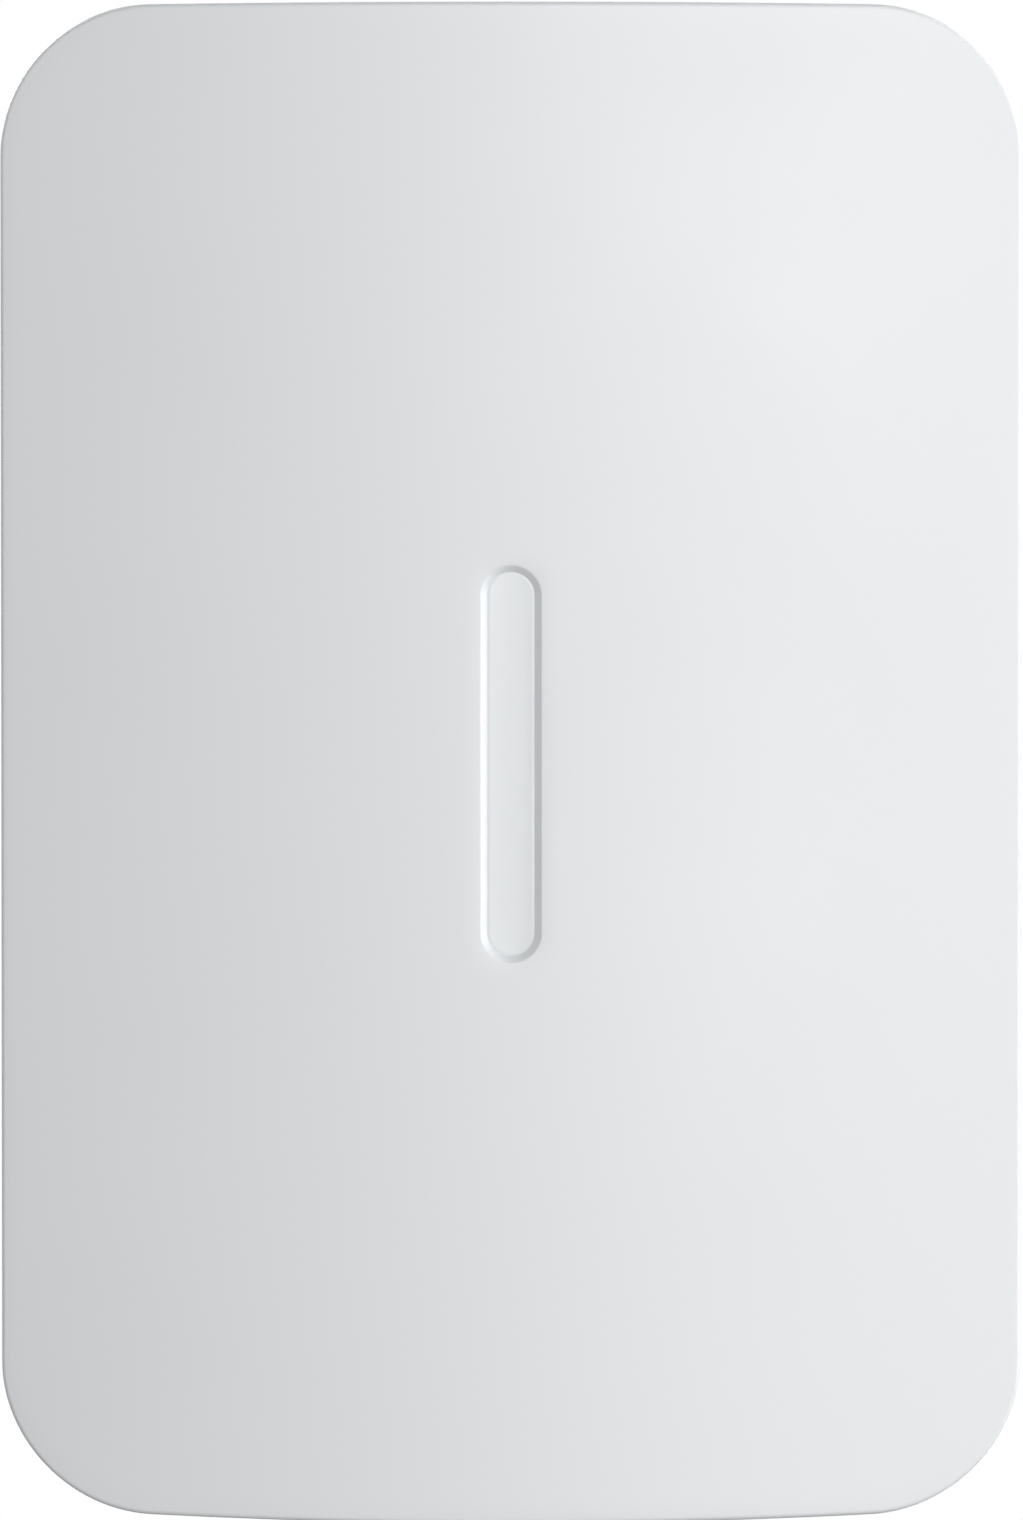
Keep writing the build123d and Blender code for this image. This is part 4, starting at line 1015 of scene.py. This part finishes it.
# ---- studio ----
def emitter(name, strength, seen):
    """Pale shadeless surface: one brightness for the eye and another for the light it gives."""
    material = bpy.data.materials.new(name)
    material.use_nodes = True
    tree = material.node_tree
    tree.nodes.clear()
    path = add_node(tree, "ShaderNodeLightPath").outputs["Is Camera Ray"]
    level = ramp(tree, path, 0, 1, strength, seen)
    glow = add_node(tree, "ShaderNodeEmission", None, Color=(1, 1, 1, 1), Strength=level)
    result = add_node(tree, "ShaderNodeOutputMaterial")
    tree.links.new(glow.outputs[0], result.inputs[0])
    return material


def around(middle, azimuth, elevation, reach):
    """Place at a distance from a middle: azimuth 0 is in front, and turns towards the right."""
    turn, rise = math.radians(azimuth), math.radians(elevation)
    away = (math.sin(turn) * math.cos(rise), -math.cos(turn) * math.cos(rise), math.sin(rise))
    return Vector(middle) + reach * Vector(away)


def lamp(name, place, aim, size, power):
    """Rectangular soft lamp aimed at a point."""
    light = bpy.data.lights.new(name, "AREA")
    light.shape = "RECTANGLE"
    light.size, light.size_y = size
    light.energy = power
    made = bpy.data.objects.new(name, light)
    bpy.context.scene.collection.objects.link(made)
    made.location = place
    made.rotation_euler = (Vector(aim) - Vector(place)).to_track_quat("-Z", "Y").to_euler()
    made.visible_camera = False
    return made


class BATTERY_OT_stage(bpy.types.Operator):
    """Set up the floor, the soft lamps and the camera"""

    bl_idname = "battery.stage"
    bl_label = "Set up the studio"

    def execute(self, context):
        studio = context.scene.battery_studio
        scene = context.scene
        floor_mesh = bpy.data.meshes.new("Studio floor")
        turns = ((-1, -1), (1, -1), (1, 1), (-1, 1))
        corners = [(x * FLOOR_HALF, y * FLOOR_HALF, FLOOR_LEVEL) for x, y in turns]
        floor_mesh.from_pydata(corners, [], [(0, 1, 2, 3)])
        floor = bpy.data.objects.new("Studio floor", floor_mesh)
        scene.collection.objects.link(floor)
        floor_mesh.materials.append(emitter("Studio floor paint", studio.ambient, 1.0))
        world = bpy.data.worlds.new("Studio air")
        scene.world = world
        world.use_nodes = True
        tree = world.node_tree
        path = add_node(tree, "ShaderNodeLightPath").outputs["Is Camera Ray"]
        level = ramp(tree, path, 0, 1, studio.ambient, 1.0)
        tree.nodes["Background"].inputs["Color"].default_value = (1, 1, 1, 1)
        tree.links.new(level, tree.nodes["Background"].inputs["Strength"])
        middle = (0, -COVER_FRONT, COVER_MIDDLE)
        lamps = (
            ("Front lamp", 10, 1.8, studio.front),
            ("Side lamp", 70, 1, studio.side),
            ("Grazing lamp", 85, 1, studio.graze),
            ("Left back lamp", 220, 25, studio.back),
            ("Right back lamp", 140, 20, studio.back / 2),
        )
        for name, azimuth, elevation, power in lamps:
            lamp(name, around(middle, azimuth, elevation, LAMP_REACH), middle, LAMP_SIZE, power)
        camera = bpy.data.cameras.new("Studio camera")
        camera.sensor_fit = "HORIZONTAL"
        camera.sensor_width = SENSOR_WIDTH
        eye = Vector((0, -COVER_FRONT - studio.distance, COVER_MIDDLE + studio.rise))
        edge_depth = COVER_FRONT - context.scene.battery_cover.crown
        target = Vector((0, -edge_depth, COVER_MIDDLE))
        reach = (target - eye).length
        camera.lens = camera.sensor_width * reach / studio.framed
        camera.clip_end = FAR_CLIP
        camera.shift_x, camera.shift_y = studio.aside, studio.above
        made = bpy.data.objects.new("Studio camera", camera)
        scene.collection.objects.link(made)
        made.location = eye
        made.rotation_euler = (target - eye).to_track_quat("-Z", "Y").to_euler()
        scene.camera = made
        scene.view_settings.view_transform = "Standard"
        return {"FINISHED"}


class BATTERY_PT_panel(bpy.types.Panel):
    """Buttons that build the unit piece by piece"""

    bl_idname = "BATTERY_PT_panel"
    bl_label = "Wall battery"
    bl_space_type = "VIEW_3D"
    bl_region_type = "UI"
    bl_category = "Wall battery"

    def draw(self, context):
        for settings in PROPERTIES:
            group = getattr(context.scene, settings)
            box = self.layout.box()
            for name in group.__annotations__:
                box.prop(group, name)
        for operator in STEPS:
            self.layout.operator(operator.bl_idname)


STEPS = (
    BATTERY_OT_stage,
    BATTERY_OT_finishes,
    BATTERY_OT_edges,
    BATTERY_OT_cover,
    BATTERY_OT_window,
    BATTERY_OT_handles,
)
PROPERTIES = {
    "battery_cover": CoverSizes,
    "battery_handle": HandleSizes,
    "battery_finishes": Finishes,
    "battery_studio": Studio,
}
CLASSES = (*PROPERTIES.values(), *STEPS, BATTERY_PT_panel)


def register():
    for one in CLASSES:
        bpy.utils.register_class(one)
    for name, settings in PROPERTIES.items():
        setattr(bpy.types.Scene, name, PointerProperty(type=settings))


def unregister():
    for name in PROPERTIES:
        delattr(bpy.types.Scene, name)
    for one in reversed(CLASSES):
        bpy.utils.unregister_class(one)


def main():
    """Register the tools and run each step in order."""
    register()
    for step in STEPS:
        family, name = step.bl_idname.split(".")
        getattr(getattr(bpy.ops, family), name)()


if __name__ == "__main__":
    main()
